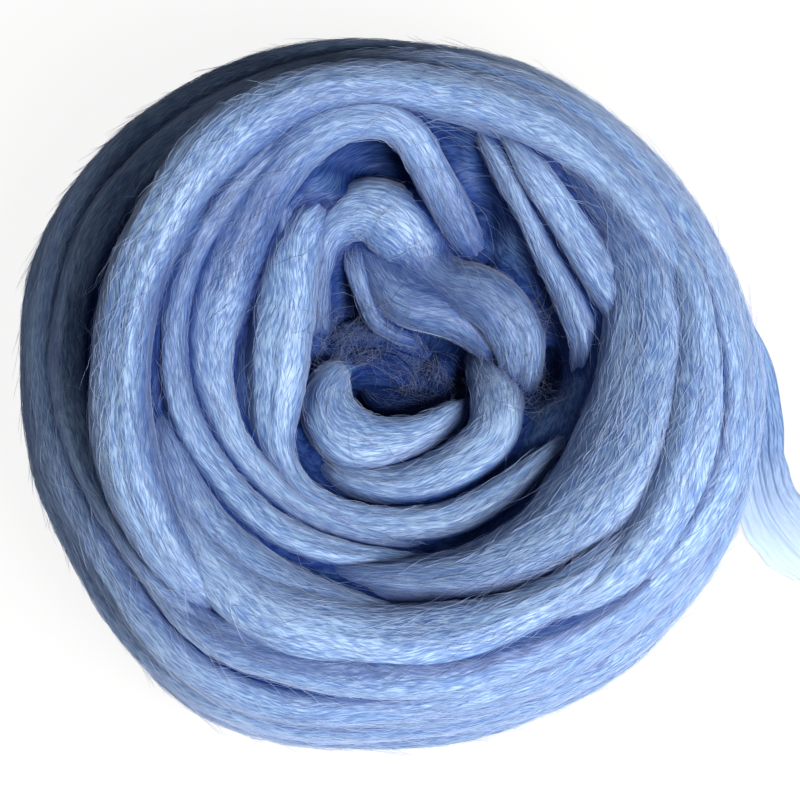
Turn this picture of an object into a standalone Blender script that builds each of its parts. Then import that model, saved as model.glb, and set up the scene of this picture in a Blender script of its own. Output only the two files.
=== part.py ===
"""A nest of combed wool roving: one thick soft strand, wound by hand into a low open coil, with
its frayed outer end lying loose on the table.

Sizes are in millimetres and degrees, and MM turns them into metres when a mesh is made. Bearings
run anticlockwise from +X seen from above. The origin is on the table, under the coil's middle.
"""

from collections import namedtuple

import bmesh
import bpy
import numpy as np

MM = 0.001

# The coil's own section, from the bottom of the well, up over the crest and down to the table.
SECTION_RADIUS = (0, 14, 28, 42, 56, 72, 88, 102, 114, 125, 134, 140, 142, 140, 134, 126)
SECTION_HEIGHT = (30, 33, 46, 59, 69, 81, 91, 96, 95, 88, 76, 60, 44, 26, 10, 0)
BELLY_RADIUS = 142
# How far out the belly reaches at every 30 degrees: a hand-wound coil is never quite round.
BELLY_REACH = (140, 135, 135, 138.5, 149, 153, 145.5, 140.5, 144, 136, 136.5, 139.5)
ROUND_WITHIN = 90  # inside this radius the coil stays round
# How far the shoulder past the crest is sunk at every 30 degrees, at the crest's height.
SHOULDER_DROP = (0, 0, 0, 10, 27, 30, 27, 8, 0, 0, 0, 0)
DROP_FROM, DROP_WHOLE = 109, 122  # radii between which the sinking sets in
CREST_HEIGHT = 90.0

STRAND_FLATNESS = 0.92  # a strand's thickness over its width, where it lies on others
THICKEST = 16.0
CURL_FLATNESS = 0.9
STATION_PITCH = 6.0  # spacing of the sections along a strand
SIDES = 16
SHORTEST_END = 4.0  # over at least this length a strand's end is rounded off
END_SCALE = 0.25  # how far the last section is narrowed

SLOPE_STEP = 2.5  # over which the section's slope is read

CORE_INSET = 6.5  # how deep the packed middle lies below the strands
CORE_STEP = 6.0  # degrees between the core's points
CORE_RINGS = 24
TABLE_SINK = 8.0  # how far the foot runs below the table before it is cut flat

FUSE_SIZE = 2.5  # the cell at which touching strands are fused
KEPT_FACES = 0.1  # share of the fused skin's faces that is kept

Strand = namedtuple("Strand", "name start end radius half_width lift")
Curl = namedtuple("Curl", "name x y z half_width")
Pit = namedtuple("Pit", "name x y reach_x reach_y depth")

# The packed middle is pushed deeper in ovals, where the innermost turns stand apart.
PITS = (
    Pit("well", -4, 20, 24, 30, 11),
    Pit("north_hollow", -6, 83, 21, 9, 24),
    Pit("north_east_hollow", 33, 62, 7, 12, 14),
    Pit("east_hole", 55, 8, 8, 12, 24),
)

# Every stretch of the roving that shows on the coil, as radius, half width and height above the
# coil's own section, each read at even steps from the start bearing to the end bearing.
STRANDS = (
    Strand("north_rim", 22, 132, (119, 117, 117, 119, 124), (7, 10, 11, 9, 6), (-4, 0, -3)),
    Strand("north_west_rim", 96, 222, (118, 121, 124, 124, 127), (6, 9, 9, 9, 6), (-5, -7, -9, -7, -4)),
    Strand("south_west_rim", 186, 302, (130, 132, 134, 133, 131), (7, 9, 9, 8, 5), (-2, 1, 1, -2)),
    Strand("south_shoulder", 212, 342, (122, 122, 122, 120, 119, 120, 121, 123, 126, 129, 129),
           (2, 6.5, 10, 11.5, 12, 12, 11, 9, 7, 5.5, 3), (-8, -1.5, 0.5, 1, 1, 1, 1, 0.5, 0, -2, -7)),
    Strand("east_shoulder", 291, 393, (109, 111, 114, 115, 114, 113, 113, 113, 115, 117, 117),
           (1.5, 5, 7.5, 10, 11, 11, 11, 10, 8.5, 7, 3.5), (-8, -3, 0, 1.5, 2, 2, 1.5, 1, 0.5, -3, -9)),
    Strand("south_crest", 195, 331, (90, 92, 97, 100, 100, 99, 99, 100, 102, 104, 105),
           (2, 5.5, 8, 10.5, 12.5, 13.5, 13, 11.5, 9, 6.5, 3),
           (-9, -4, -1, 1, 2, 2, 2, 1.5, 0.5, -1.5, -8)),
    Strand("east_crest", 247, 417, (73, 72, 73, 74, 76, 77, 79, 80, 82, 83, 85, 88, 91, 94, 95, 96, 97),
           (3, 6.5, 9.5, 12.5, 15.5, 17.5, 19.5, 22, 22, 23, 22, 21, 18.5, 16.5, 14.5, 11.5, 7.5),
           (-10, -4.5, -1, 0.5, 1.5, 2.5, 3, 3, 3, 2.5, 2, 1, -0.5, -3, -5, -8, -12)),
    Strand("west_crest", 4, 238,
           (117, 112, 109, 107, 105, 105, 106, 107, 105, 102, 99, 99, 99, 102, 106, 110, 112),
           (3, 7, 9, 9.5, 10, 10.5, 11, 11, 11.5, 12, 12, 11.5, 11.5, 12, 11, 8, 3.5),
           (-9, -2.5, 0, 0.5, 1, 2, 2.5, 3.5, 5, 6, 6, 6, 6, 6, 5, 1.5, -7)),
    Strand("west_ridge", 101, 284, (98, 92, 87, 84, 80, 77, 73, 71, 68, 65, 64),
           (3, 5.5, 6.5, 6.5, 6.5, 7, 7.5, 7.5, 7, 5, 2.5), (-6, -0.5, 1, 1, 1, 1, 1, 1, 0, -2.5, -8)),
    Strand("inner_turn", 55, 285,
           (47, 55, 70, 88.5, 92, 88.5, 83, 77, 72, 69, 67, 65, 63, 62, 60, 59, 58, 57, 57, 57, 60),
           (4, 6, 7.5, 7.5, 8, 9.5, 11, 12, 12.5, 12, 11, 9.5, 8, 7.5, 7, 6.5, 6.5, 6, 5, 4, 2),
           (-13, -5, 2, 3.5, 2.5, 2, 2.5, 3, 3, 3, 2.5, 1.5, 1, 1, 1, 0.5, 0, -1, -2.5, -5, -9)),
    Strand("north_ridge", 17, 69, (81, 80, 80, 81, 83, 86, 91, 97), (3, 5.5, 7, 7.5, 7, 6.5, 5, 3),
           (-9, 0, 2.5, 3, 3, 2, -1, -8)),
    Strand("north_ridge_inner", 11, 74, (64, 65, 65, 67, 69, 73, 78, 84, 92),
           (3, 5, 6, 6.5, 6.5, 6.5, 6.5, 5.5, 3.5), (-12, -4, -0.5, 1, 1, 1, 0, -2.5, -9)),
    Strand("south_fold", 188, 278, (86, 87, 90, 92, 92, 90, 89, 91), (3.5, 7, 9.5, 11, 10.5, 9.5, 7.5, 4.5),
           (-6, -2.5, -1, -1, -1, -2, -4, -8)),
    Strand("east_rim", 276, 373, (123, 124, 126, 127, 129, 130, 132, 133, 133, 133, 132),
           (5, 8, 9.5, 10.5, 11, 11.5, 12, 11.5, 10.5, 8.5, 4.5),
           (-8, -3.5, -1.5, 0, 0.5, 1, 1, 1, 0.5, -2, -7)),
    Strand("well_south_west", 119, 343, (74, 60, 51, 47, 47, 48, 51, 53, 53, 52, 52, 53, 54, 57, 61),
           (3.5, 11.5, 13.5, 13.5, 12.5, 11, 9.5, 8.5, 8, 8, 8, 8, 7.5, 6.5, 5),
           (-8, -0.5, 1, 1, 1, 1, 1, 1, 1, 1, 1, 0.5, -0.5, -2.5, -8)),
)

# The innermost turns and curls, which leave the coil's round and stand up in the well.
CURLS = (
    Curl("upper_lobe", (-30, -31, -30, -28, -21, -11, -1, 6, 12, 20, 31, 39, 45, 47, 47, 45),
         (20, 33, 45, 55, 63, 66, 62, 55, 46, 39, 34, 28, 19, 9, 1, -6),
         (44, 55, 62, 67, 70, 72, 71, 67, 64, 65, 69, 70, 66, 60, 51, 40),
         (3.5, 5, 6.5, 8.5, 11.5, 13.5, 15, 15.5, 14, 12, 11.5, 11.5, 11, 9.5, 7, 4)),
    Curl("turning_under", (-15, -10, -4, 4, 14, 24, 33, 40, 44, 45),
         (58, 49, 41, 33, 30, 27, 21, 12, 3, -5), (56, 60, 62, 63, 62, 60, 57, 51, 44, 35),
         (5, 8, 11, 11.5, 11, 10.5, 9.5, 7.5, 5.5, 3)),
    Curl("well_loop", (-20, -17, -16, -14, -12, -8, -2, 5, 13), (63, 55, 47, 40, 32, 26, 21, 18, 18),
         (50, 56, 58, 57, 56, 54, 51, 46, 38), (3, 4, 4, 4, 4, 4, 4, 4, 3)),
    Curl("flap", (-16, -26, -35, -40, -42, -43, -44, -45, -46, -47, -45, -40, -35),
         (79, 72, 62, 49, 37, 25, 15, 4, -7, -19, -29, -39, -45),
         (60, 68, 73, 76, 77, 76, 75, 74, 72, 71, 70, 68, 62),
         (3.5, 8, 10.5, 12, 12.5, 12.5, 12, 12, 11, 9.5, 7.5, 5, 2.5)),
    Curl("well_wall", (-18, -24, -28, -29, -29, -26), (59, 56, 47, 37, 28, 22), (52, 58, 58, 55, 49, 40),
         (3, 4.5, 5, 5, 4, 3)),
    Curl("lip_inside", (-17, -24, -27, -22, -12, 1, 12, 22, 27), (12, 5, -6, -17, -23, -22, -18, -10, -1),
         (42, 51, 57, 60, 60, 59, 57, 51, 42), (5.5, 9, 11.5, 12.5, 12.5, 10.5, 9, 6.5, 3.5)),
    Curl("lip_outside", (27, 34, 38, 36, 26, 12, -3, -18, -30), (20, 8, -6, -20, -30, -37, -39, -35, -26),
         (38, 51, 60, 64, 65, 64, 62, 58, 50), (4.5, 8.5, 10.5, 10.5, 9.5, 9, 8, 7, 5)),
)

# The outer wall: one long strand that climbs from the table to the shoulder.
WALL_TURNS = 4.2
WALL_START = 205.0  # bearing where its top end tucks in, less the turns below
WALL_PITCH = 24.0  # from turn to turn, measured down the section
WALL_TOP = 118.0  # radius on the shoulder where the last turn ends
WALL_HALF_WIDTH = 12.6
WALL_SWELL = 1.2  # how much the strand swells and thins on its way
WALL_WANDER = 2.4  # how far it strays from an even climb
WALL_TUCK = 0.06  # share of its length over which its top end sinks in

# The loose end: a thin frayed sheet along the foot of the coil, read at even steps from its root,
# tucked into the wall, to its torn tip on the table. Its inner side leans against the wall.
LOOSE_X = (111, 124, 134, 139.5, 141, 141.5, 145, 152, 161)
LOOSE_Y = (50, 44, 32, 15, -3, -21, -37, -49, -59)
LOOSE_HALF_WIDTH = (4, 5, 6.5, 9, 10.5, 11, 13, 14, 11)
LOOSE_LIFT = (12, 10, 6, 2, 0, 0, 0, 0, 0)  # height of the outer edge above the table
LOOSE_LEAN = (1, 2, 4, 6, 6, 6, 3, 1, 0)  # how much higher the inner edge lies than the outer one
LOOSE_THICKNESS = 2.0
LOOSE_STATIONS = 25
LOOSE_ACROSS = 9
LOOSE_RIPPLE = 0.6
LOOSE_FRAY = 8.0  # how far the torn tip bulges out
LOOSE_NOTCHES = 0.25  # depth of its notches, over that
SEAT_GAP = 0.3  # clearance between the loose end and the coil


def smooth_through(values, where):
    """Reads evenly spaced values at places from 0 to 1 along them, on a Catmull-Rom curve."""
    values = np.asarray(values, float)
    place = np.clip(where, 0, 1) * (len(values) - 1)
    first = np.minimum(place.astype(int), len(values) - 2)
    t = place - first
    padded = np.concatenate([[2 * values[0] - values[1]], values, [2 * values[-1] - values[-2]]])
    a, b, c, d = (padded[first + step] for step in range(4))
    return b + 0.5 * t * (c - a + t * (2 * a - 5 * b + 4 * c - d + t * (3 * (b - c) + d - a)))


def belly_scale(bearing, radius):
    """How much the coil is stretched outwards at a bearing: fully at the belly, not at all inside."""
    ring = np.array(BELLY_REACH + BELLY_REACH[:1], float)
    reach = smooth_through(ring, np.mod(bearing, 360.0) / 360.0) / BELLY_RADIUS
    share = np.clip((radius - ROUND_WITHIN) / (BELLY_RADIUS - ROUND_WITHIN), 0, 1)
    return 1 + (reach - 1) * share * share * (3 - 2 * share)


def section_curve(count=400):
    """The coil's section as many points, with the distance along it from the well's middle."""
    where = np.linspace(0, 1, count)
    radius = smooth_through(SECTION_RADIUS, where)
    height = smooth_through(SECTION_HEIGHT, where)
    along = np.concatenate([[0], np.cumsum(np.hypot(np.diff(radius), np.diff(height)))])
    return radius, height, along


SECTION = section_curve()


def along_at_radius(radius):
    """Where a radius falls on the upper side of the section."""
    section_radius, _, along = SECTION
    top = int(np.argmax(section_radius)) + 1
    return np.interp(radius, section_radius[:top], along[:top])


def height_at(bearing, along):
    """The section's height at a bearing: past the crest it is lowered in proportion to its height."""
    _, section_height, lengths = SECTION
    height = np.interp(along, lengths, section_height)
    ring = np.array(SHOULDER_DROP + SHOULDER_DROP[:1], float)
    drop = np.maximum(smooth_through(ring, np.mod(bearing, 360.0) / 360.0), 0.0)
    first, last = along_at_radius(DROP_FROM), along_at_radius(DROP_WHOLE)
    share = np.clip((along - first) / (last - first), 0, 1)
    return height * (1 - drop / CREST_HEIGHT * share * share * (3 - 2 * share))


def on_coil(bearing, along):
    """Points on the coil's own surface, and the outward normals there."""
    bearing = np.asarray(bearing, float)
    section_radius, _, lengths = SECTION
    radius = np.interp(along, lengths, section_radius)
    height = height_at(bearing, along)
    ahead = np.clip(along + SLOPE_STEP, 0, lengths[-1])
    behind = np.clip(along - SLOPE_STEP, 0, lengths[-1])
    rise = height_at(bearing, ahead) - height_at(bearing, behind)
    run = np.interp(ahead, lengths, section_radius) - np.interp(behind, lengths, section_radius)
    size = np.hypot(rise, run)
    angle = np.radians(bearing)
    outward = np.stack([np.cos(angle), np.sin(angle), np.zeros_like(angle)], axis=-1)
    up = np.array([0.0, 0.0, 1.0])
    points = outward * (radius * belly_scale(bearing, radius))[:, None] + up * height[:, None]
    normals = outward * (-rise / size)[:, None] + up * (run / size)[:, None]
    return points, normals


def unit(vectors):
    return vectors / np.linalg.norm(vectors, axis=-1, keepdims=True)


def path_lengths(points):
    return np.concatenate([[0], np.cumsum(np.linalg.norm(np.diff(points, axis=0), axis=1))])


def strand_rings(centres, normals, half_width, half_thickness):
    """Oval rings at even steps along a dense path, square to it, narrowed to blunt round ends."""
    lengths = path_lengths(centres)
    pitch = min(STATION_PITCH, 0.8 * float(np.mean(half_width)))
    count = max(4, round(lengths[-1] / pitch) + 1)
    even = np.linspace(0, lengths[-1], count)
    even = np.sort(np.append(even, [even[1] / 3, lengths[-1] - even[1] / 3]))
    middle = np.stack([np.interp(even, lengths, column) for column in centres.T], axis=-1)
    square = unit(np.stack([np.interp(even, lengths, column) for column in normals.T], axis=-1))
    width = np.interp(even, lengths, half_width)
    thickness = np.interp(even, lengths, half_thickness)
    to_end = np.minimum(even, lengths[-1] - even) / np.maximum(width, SHORTEST_END)
    ends = np.maximum(np.sqrt(1 - (1 - np.clip(to_end, 0, 1)) ** 2), END_SCALE)
    ahead = unit(np.gradient(middle, axis=0))
    across = unit(np.cross(ahead, square))
    out = np.cross(across, ahead)
    angle = np.linspace(0, 2 * np.pi, SIDES, endpoint=False)
    side = np.cos(angle)[None, :, None] * across[:, None, :] * (width * ends)[:, None, None]
    lift = np.sin(angle)[None, :, None] * out[:, None, :] * (thickness * ends)[:, None, None]
    return middle[:, None, :] + side + lift


def laid_strand(bearing, along, half_width, lift):
    """A strand laid on the coil, with its top on the coil's own surface where its lift is nought."""
    thickness = np.minimum(half_width * STRAND_FLATNESS, THICKEST)
    points, normals = on_coil(bearing, along)
    return strand_rings(points + normals * (lift - thickness)[:, None], normals, half_width, thickness)


def strand_on_coil(row):
    where = np.linspace(0, 1, 300)
    bearing = row.start + (row.end - row.start) * where
    along = along_at_radius(smooth_through(row.radius, where))
    return laid_strand(bearing, along, smooth_through(row.half_width, where), smooth_through(row.lift, where))


def curl_in_well(row):
    """A strand on a free path, whose points are the middle of its upper side."""
    where = np.linspace(0, 1, 200)
    half_width = smooth_through(row.half_width, where)
    thickness = half_width * CURL_FLATNESS
    tops = np.stack([smooth_through(values, where) for values in (row.x, row.y, row.z)], axis=-1)
    up = np.tile([0.0, 0.0, 1.0], (len(where), 1))
    return strand_rings(tops - up * thickness[:, None], up, half_width, thickness)


def wall_strand():
    where = np.linspace(0, 1, 1500)
    bearing = WALL_START + 360.0 * WALL_TURNS * where
    angle = np.radians(bearing)
    along = along_at_radius(WALL_TOP) + WALL_PITCH * WALL_TURNS * (1 - where)
    wander = WALL_WANDER * np.sin(1.31 * angle + 0.7) + WALL_SWELL * np.sin(2.77 * angle)
    half_width = WALL_HALF_WIDTH + WALL_SWELL * np.sin(0.83 * angle)
    tucked = np.clip((where - 1 + WALL_TUCK) / WALL_TUCK, 0, 1)
    return laid_strand(bearing, along + wander, half_width * (1 - 0.6 * tucked), -6 * tucked)


def core_rings():
    """The packed middle of the coil, inside all the strands, with its foot below the table."""
    bearing = np.arange(0, 360, CORE_STEP)
    rings = []
    for distance in np.linspace(6.0, SECTION[2][-1] - 2.0, CORE_RINGS):
        points, normals = on_coil(bearing, np.full(len(bearing), distance))
        ring = points - normals * CORE_INSET
        for pit in PITS:
            from_pit = (ring[:, :2] - (pit.x, pit.y)) / (pit.reach_x, pit.reach_y)
            ring[:, 2] -= pit.depth * np.exp(-(from_pit ** 2).sum(axis=1))
        rings.append(ring)
    foot = rings[-1].copy()
    foot[:, 2] = -TABLE_SINK
    return np.stack(rings + [foot])


def mesh_object(name, points, faces):
    mesh = bpy.data.meshes.new(name)
    mesh.from_pydata((np.asarray(points, float) * MM).tolist(), [], faces)
    bm = bmesh.new()
    bm.from_mesh(mesh)
    bmesh.ops.recalc_face_normals(bm, faces=bm.faces)
    bm.to_mesh(mesh)
    bm.free()
    made = bpy.data.objects.new(name, mesh)
    bpy.context.scene.collection.objects.link(made)
    return made


def lofted(name, solids):
    """One mesh of closed solids, each through its own rings of points and capped at both ends."""
    points = []
    faces = []
    start = 0
    for rings in solids:
        count, sides, _ = rings.shape
        for row in range(count - 1):
            low = start + row * sides
            for side in range(sides):
                after = (side + 1) % sides
                faces.append((low + side, low + after, low + sides + after, low + sides + side))
        faces.append(tuple(range(start, start + sides)))
        start += count * sides
        faces.append(tuple(range(start - sides, start)))
        points.append(rings.reshape(-1, 3))
    return mesh_object(name, np.concatenate(points), faces)


def loose_sheet(name, spare):
    """The loose end as a closed sheet; spare is added to its thickness and its edges all round."""
    where = np.linspace(0, 1, LOOSE_STATIONS)
    path = np.stack([smooth_through(LOOSE_X, where), smooth_through(LOOSE_Y, where)], axis=-1)
    ahead = unit(np.gradient(path, axis=0))
    outward = np.stack([-ahead[:, 1], ahead[:, 0]], axis=-1)
    half_width = smooth_through(LOOSE_HALF_WIDTH, where) + spare
    lean = smooth_through(LOOSE_LEAN, where)
    across = np.linspace(-1, 1, LOOSE_ACROSS)
    flat = path[:, None, :] + outward[:, None, :] * (half_width[:, None] * across)[:, :, None]
    torn = np.cos(0.5 * np.pi * across) + LOOSE_NOTCHES * np.cos(3.5 * np.pi * across)
    fray = LOOSE_FRAY * torn * np.clip((where - 0.8) / 0.2, 0, 1)[:, None] ** 2
    flat += ahead[:, None, :] * fray[:, :, None]
    ends = np.zeros((LOOSE_STATIONS, 1, 1))
    ends[0] = -spare
    ends[-1] = spare
    flat += ahead[:, None, :] * ends
    inner = np.clip(-across, 0, 1) ** 1.5
    ripple = LOOSE_RIPPLE * (1 + np.sin(3 * np.pi * across)) * np.sin(np.pi * where)[:, None]
    low = smooth_through(LOOSE_LIFT, where)[:, None] + lean[:, None] * inner + ripple
    bottom = np.dstack([flat, low - spare])
    top = np.dstack([flat, low + LOOSE_THICKNESS + spare])
    rings = np.concatenate([bottom, top[:, ::-1]], axis=1)
    return lofted(name, [rings])


def helper(made):
    made.hide_render = True
    made.display_type = "WIRE"
    return made


def under_table():
    """A block with its top at the table's height, to cut the foot flat."""
    half = 1.2 * BELLY_RADIUS
    low = -60.0
    corners = [(x * half, y * half, z) for z in (low, 0) for y in (-1, 1) for x in (-1, 1)]
    faces = [(0, 2, 3, 1), (4, 5, 7, 6), (0, 1, 5, 4), (1, 3, 7, 5), (3, 2, 6, 7), (2, 0, 4, 6)]
    return helper(mesh_object("under_table", corners, faces))


def wool(name, colour):
    made = bpy.data.materials.new(name)
    made.use_nodes = True
    shader = made.node_tree.nodes["Principled BSDF"]
    shader.inputs["Base Color"].default_value = (*colour, 1)
    shader.inputs["Roughness"].default_value = 0.75
    shader.inputs["Metallic"].default_value = 0.0
    return made


def cut(made, cutter):
    modifier = made.modifiers.new(cutter.name, "BOOLEAN")
    modifier.operation = "DIFFERENCE"
    modifier.solver = "EXACT"
    modifier.object = cutter


def wound_roving():
    """The coil: all its strands and its middle fused into one skin, with a flat foot."""
    solids = [core_rings(), wall_strand()]
    solids += [strand_on_coil(row) for row in STRANDS]
    solids += [curl_in_well(row) for row in CURLS]
    made = lofted("wound_roving", solids)
    fuse = made.modifiers.new("fuse", "REMESH")
    fuse.mode = "VOXEL"
    fuse.voxel_size = FUSE_SIZE * MM
    thin = made.modifiers.new("thin", "DECIMATE")
    thin.ratio = KEPT_FACES
    cut(made, under_table())
    cut(made, helper(loose_sheet("loose_end_seat", SEAT_GAP)))
    made.data.materials.append(wool("combed_wool", (0.19, 0.33, 0.68)))


def loose_end():
    made = loose_sheet("loose_end", 0.0)
    made.data.materials.append(wool("frayed_wool", (0.33, 0.47, 0.78)))


def clear_scene():
    for old in list(bpy.data.objects):
        bpy.data.objects.remove(old)


def main():
    clear_scene()
    wound_roving()
    loose_end()


if __name__ == "__main__":
    main()
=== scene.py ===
# A nest of combed wool roving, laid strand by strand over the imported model, with its loose fibres.
from functools import partial

import bpy
import numpy as np
from mathutils import Matrix, Vector
from mathutils.bvhtree import BVHTree


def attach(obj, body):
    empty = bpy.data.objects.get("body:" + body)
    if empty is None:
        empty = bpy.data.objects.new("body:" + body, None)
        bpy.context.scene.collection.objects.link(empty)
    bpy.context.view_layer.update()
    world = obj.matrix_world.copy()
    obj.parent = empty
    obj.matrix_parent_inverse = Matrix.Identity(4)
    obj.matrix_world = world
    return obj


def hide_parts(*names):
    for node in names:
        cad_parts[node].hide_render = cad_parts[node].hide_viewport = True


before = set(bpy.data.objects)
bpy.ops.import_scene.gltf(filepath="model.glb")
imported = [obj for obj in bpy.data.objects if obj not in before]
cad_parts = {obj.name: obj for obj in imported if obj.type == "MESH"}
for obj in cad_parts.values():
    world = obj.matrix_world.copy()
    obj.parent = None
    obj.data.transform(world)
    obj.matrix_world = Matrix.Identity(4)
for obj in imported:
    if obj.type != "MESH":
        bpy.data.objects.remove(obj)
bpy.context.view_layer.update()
mm = 0.001  # all tables below are in millimetres and degrees
scene = bpy.context.scene
print("frame loaded")

# The coil's section from the bottom of the well over the crest and down to the table.
nestForm = {
    "sectionRadius": (0, 14, 28, 42, 56, 72, 88, 102, 114, 125, 134, 140, 142, 140, 134, 126),
    "sectionHeight": (30, 33, 46, 59, 69, 81, 91, 96, 95, 88, 76, 60, 44, 26, 10, 0),
    "bellyRadius": 142,
    "bellyReach": (140, 135, 135, 138.5, 149, 153, 145.5, 140.5, 144, 136, 136.5, 139.5),  # every 30 degrees
    "roundWithin": 90,  # inside this radius the coil stays round
    "shoulderDrop": (0, 0, 0, 10, 27, 30, 27, 8, 0, 0, 0, 0),  # of the outer turns, every 30 degrees
    "dropHeight": 90.0,  # the height that the drop is stated for
    "dropFrom": (109, 122),  # radii between which the drop grows to its full depth
    "slopeReach": 2.5,  # each way along the section, to take its slope
    "flatness": 0.92,  # a strand's thickness over its width
    "thickest": 16.0,
    "curlFlatness": 0.9,
}


# Catmull-Rom reading of evenly spaced values at places from 0 to 1 along them.
def readAlong(values, where):
    values = np.asarray(values, float)
    place = np.clip(where, 0, 1) * (len(values) - 1)
    first = np.minimum(place.astype(int), len(values) - 2)
    t = place - first
    padded = np.concatenate([[2 * values[0] - values[1]], values, [2 * values[-1] - values[-2]]])
    a, b, c, d = (padded[first + step] for step in range(4))
    return b + 0.5 * t * (c - a + t * (2 * a - 5 * b + 4 * c - d + t * (3 * (b - c) + d - a)))


# The same for values spaced evenly all round, at bearings in degrees.
def readRound(values, bearing):
    return readAlong(np.array(values + values[:1], float), np.mod(bearing, 360.0) / 360.0)


# Columns of a table that belong to lengths, read at other lengths.
def readTable(even, lengths, table):
    return np.stack([np.interp(even, lengths, column) for column in table.T], axis=-1)


# From 0 to 1 with a slow start and end: three squares less two cubes.
def eased(share):
    return share * share * (3 - 2 * share)


def unitOf(vectors):
    return vectors / np.maximum(np.linalg.norm(vectors, axis=-1, keepdims=True), 1e-12)


def summed(steps):
    return np.concatenate([[0], np.cumsum(steps)])


def lengthsOf(points):
    return summed(np.linalg.norm(np.diff(points, axis=0), axis=1))


# The section as a dense curve: radius, height and the distance along it.
def sectionCurve():
    where = np.linspace(0, 1, 400)
    radius = readAlong(nestForm["sectionRadius"], where)
    height = readAlong(nestForm["sectionHeight"], where)
    return radius, height, summed(np.hypot(np.diff(radius), np.diff(height)))


section = sectionCurve()


def alongAtRadius(radius):
    top = int(np.argmax(section[0])) + 1
    return np.interp(radius, section[0][:top], section[2][:top])


# How far the coil is stretched outwards at a bearing: fully at the belly, not at all inside.
def bellyScale(bearing, radius):
    reach = readRound(nestForm["bellyReach"], bearing) / nestForm["bellyRadius"]
    inside = nestForm["roundWithin"]
    share = np.clip((radius - inside) / (nestForm["bellyRadius"] - inside), 0, 1)
    return 1 + (reach - 1) * eased(share)


# The section's height at a bearing: past the crest it is lowered in proportion to its height.
def heightAt(bearing, along):
    height = np.interp(along, section[2], section[1])
    drop = np.maximum(readRound(nestForm["shoulderDrop"], bearing), 0.0)
    first, last = (alongAtRadius(radius) for radius in nestForm["dropFrom"])
    share = np.clip((along - first) / (last - first), 0, 1)
    return height * (1 - drop / nestForm["dropHeight"] * eased(share))


# A point of the coil is its section's radius and height turned to a bearing; the normal is square
# to the section.
def onCoil(bearing, along):
    bearing = np.asarray(bearing, float)
    sectionRadius, _, lengths = section
    radius = np.interp(along, lengths, sectionRadius)
    height = heightAt(bearing, along)
    ahead = np.clip(along + nestForm["slopeReach"], 0, lengths[-1])
    behind = np.clip(along - nestForm["slopeReach"], 0, lengths[-1])
    rise = heightAt(bearing, ahead) - heightAt(bearing, behind)
    run = np.interp(ahead, lengths, sectionRadius) - np.interp(behind, lengths, sectionRadius)
    size = np.hypot(rise, run)
    angle = np.radians(bearing)
    outward = np.stack([np.cos(angle), np.sin(angle), np.zeros_like(angle)], axis=-1)
    up = np.array([0.0, 0.0, 1.0])
    points = outward * (radius * bellyScale(bearing, radius))[:, None] + up * height[:, None]
    normals = outward * (-rise / size)[:, None] + up * (run / size)[:, None]
    return points, normals


# A piece from a surface's points, quads, triangles and maps.
def makePiece(name, surface, material, node="wound_roving"):
    points, quads, triangles, maps = surface
    corners = np.concatenate([quads.reshape(-1), triangles.reshape(-1)])
    totals = np.concatenate([np.full(len(quads), 4), np.full(len(triangles), 3)])
    mesh = bpy.data.meshes.new(name)
    mesh.vertices.add(len(points))
    mesh.vertices.foreach_set("co", (points * mm).astype(np.float32).ravel())
    mesh.loops.add(len(corners))
    mesh.loops.foreach_set("vertex_index", corners.astype(np.int32))
    mesh.polygons.add(len(totals))
    mesh.polygons.foreach_set("loop_start", summed(totals)[:-1].astype(np.int32))
    mesh.update(calc_edges=True)
    for mapName, places in maps.items():
        layer = mesh.uv_layers.new(name=mapName, do_init=False)
        layer.uv.foreach_set("vector", places.astype(np.float32).ravel())
    mesh.validate()
    mesh.shade_smooth()
    mesh.materials.append(material)
    piece = bpy.data.objects.new(name, mesh)
    scene.collection.objects.link(piece)
    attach(piece, "root")
    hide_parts(node)
    return piece


# Values on a piece's points for its material, and the points' own places ("co") or normals.
def markPoints(piece, name, values, kind="FLOAT"):
    held = piece.data.attributes.new(name, kind, "POINT")
    held.data.foreach_set("value" if kind == "FLOAT" else "vector", values.astype(np.float32).ravel())


def pointsOf(mesh, what):
    values = np.empty(len(mesh.vertices) * 3)
    mesh.vertices.foreach_get(what, values)
    return values.reshape(-1, 3)


# The faces of a closed tube: quads between its rings, and a fan at each end to one more point.
def tubeFaces(rows, cols):
    row, col = (places.ravel() for places in np.meshgrid(np.arange(rows - 1), np.arange(cols), indexing="ij"))
    near, after = row * cols, (col + 1) % cols
    quads = np.stack([near + col, near + after, near + cols + after, near + cols + col], axis=1)
    spoke, ends, last = np.arange(cols), np.full(cols, rows * cols), (rows - 1) * cols
    after = (spoke + 1) % cols
    fans = [np.stack(fan, axis=1) for fan in ((after, spoke, ends), (last + spoke, last + after, ends + 1))]
    return row, col, quads, np.concatenate(fans)


# A tube from a grid of rings, closed at each end by a fan to the ring's middle. The map called lay
# holds millimetres along and round the strand, and OFBake the same from 0 to 1.
def tubeArrays(grid, along, around):
    cols = grid.shape[1]
    points = np.concatenate([grid.reshape(-1, 3), grid[0].mean(axis=0)[None], grid[-1].mean(axis=0)[None]])
    row, col, quads, fans = tubeFaces(*grid.shape[:2])
    u = np.stack([along[row], along[row], along[row + 1], along[row + 1]], axis=1)
    v = np.stack([around[col], around[col + 1], around[col + 1], around[col]], axis=1)
    fanV = np.stack([around[1:], around[:-1], (around[:-1] + around[1:]) / 2], axis=1)
    lay = np.concatenate([np.stack(places, axis=-1).reshape(-1, 2) for places in (
        (u, v), (np.full((cols, 3), along[0]), fanV), (np.full((cols, 3), along[-1]), fanV[:, [1, 0, 2]]))])
    return points, quads, fans, {"lay": lay * mm, "OFBake": lay / [max(along[-1], 1e-6), around[-1]]}


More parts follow.
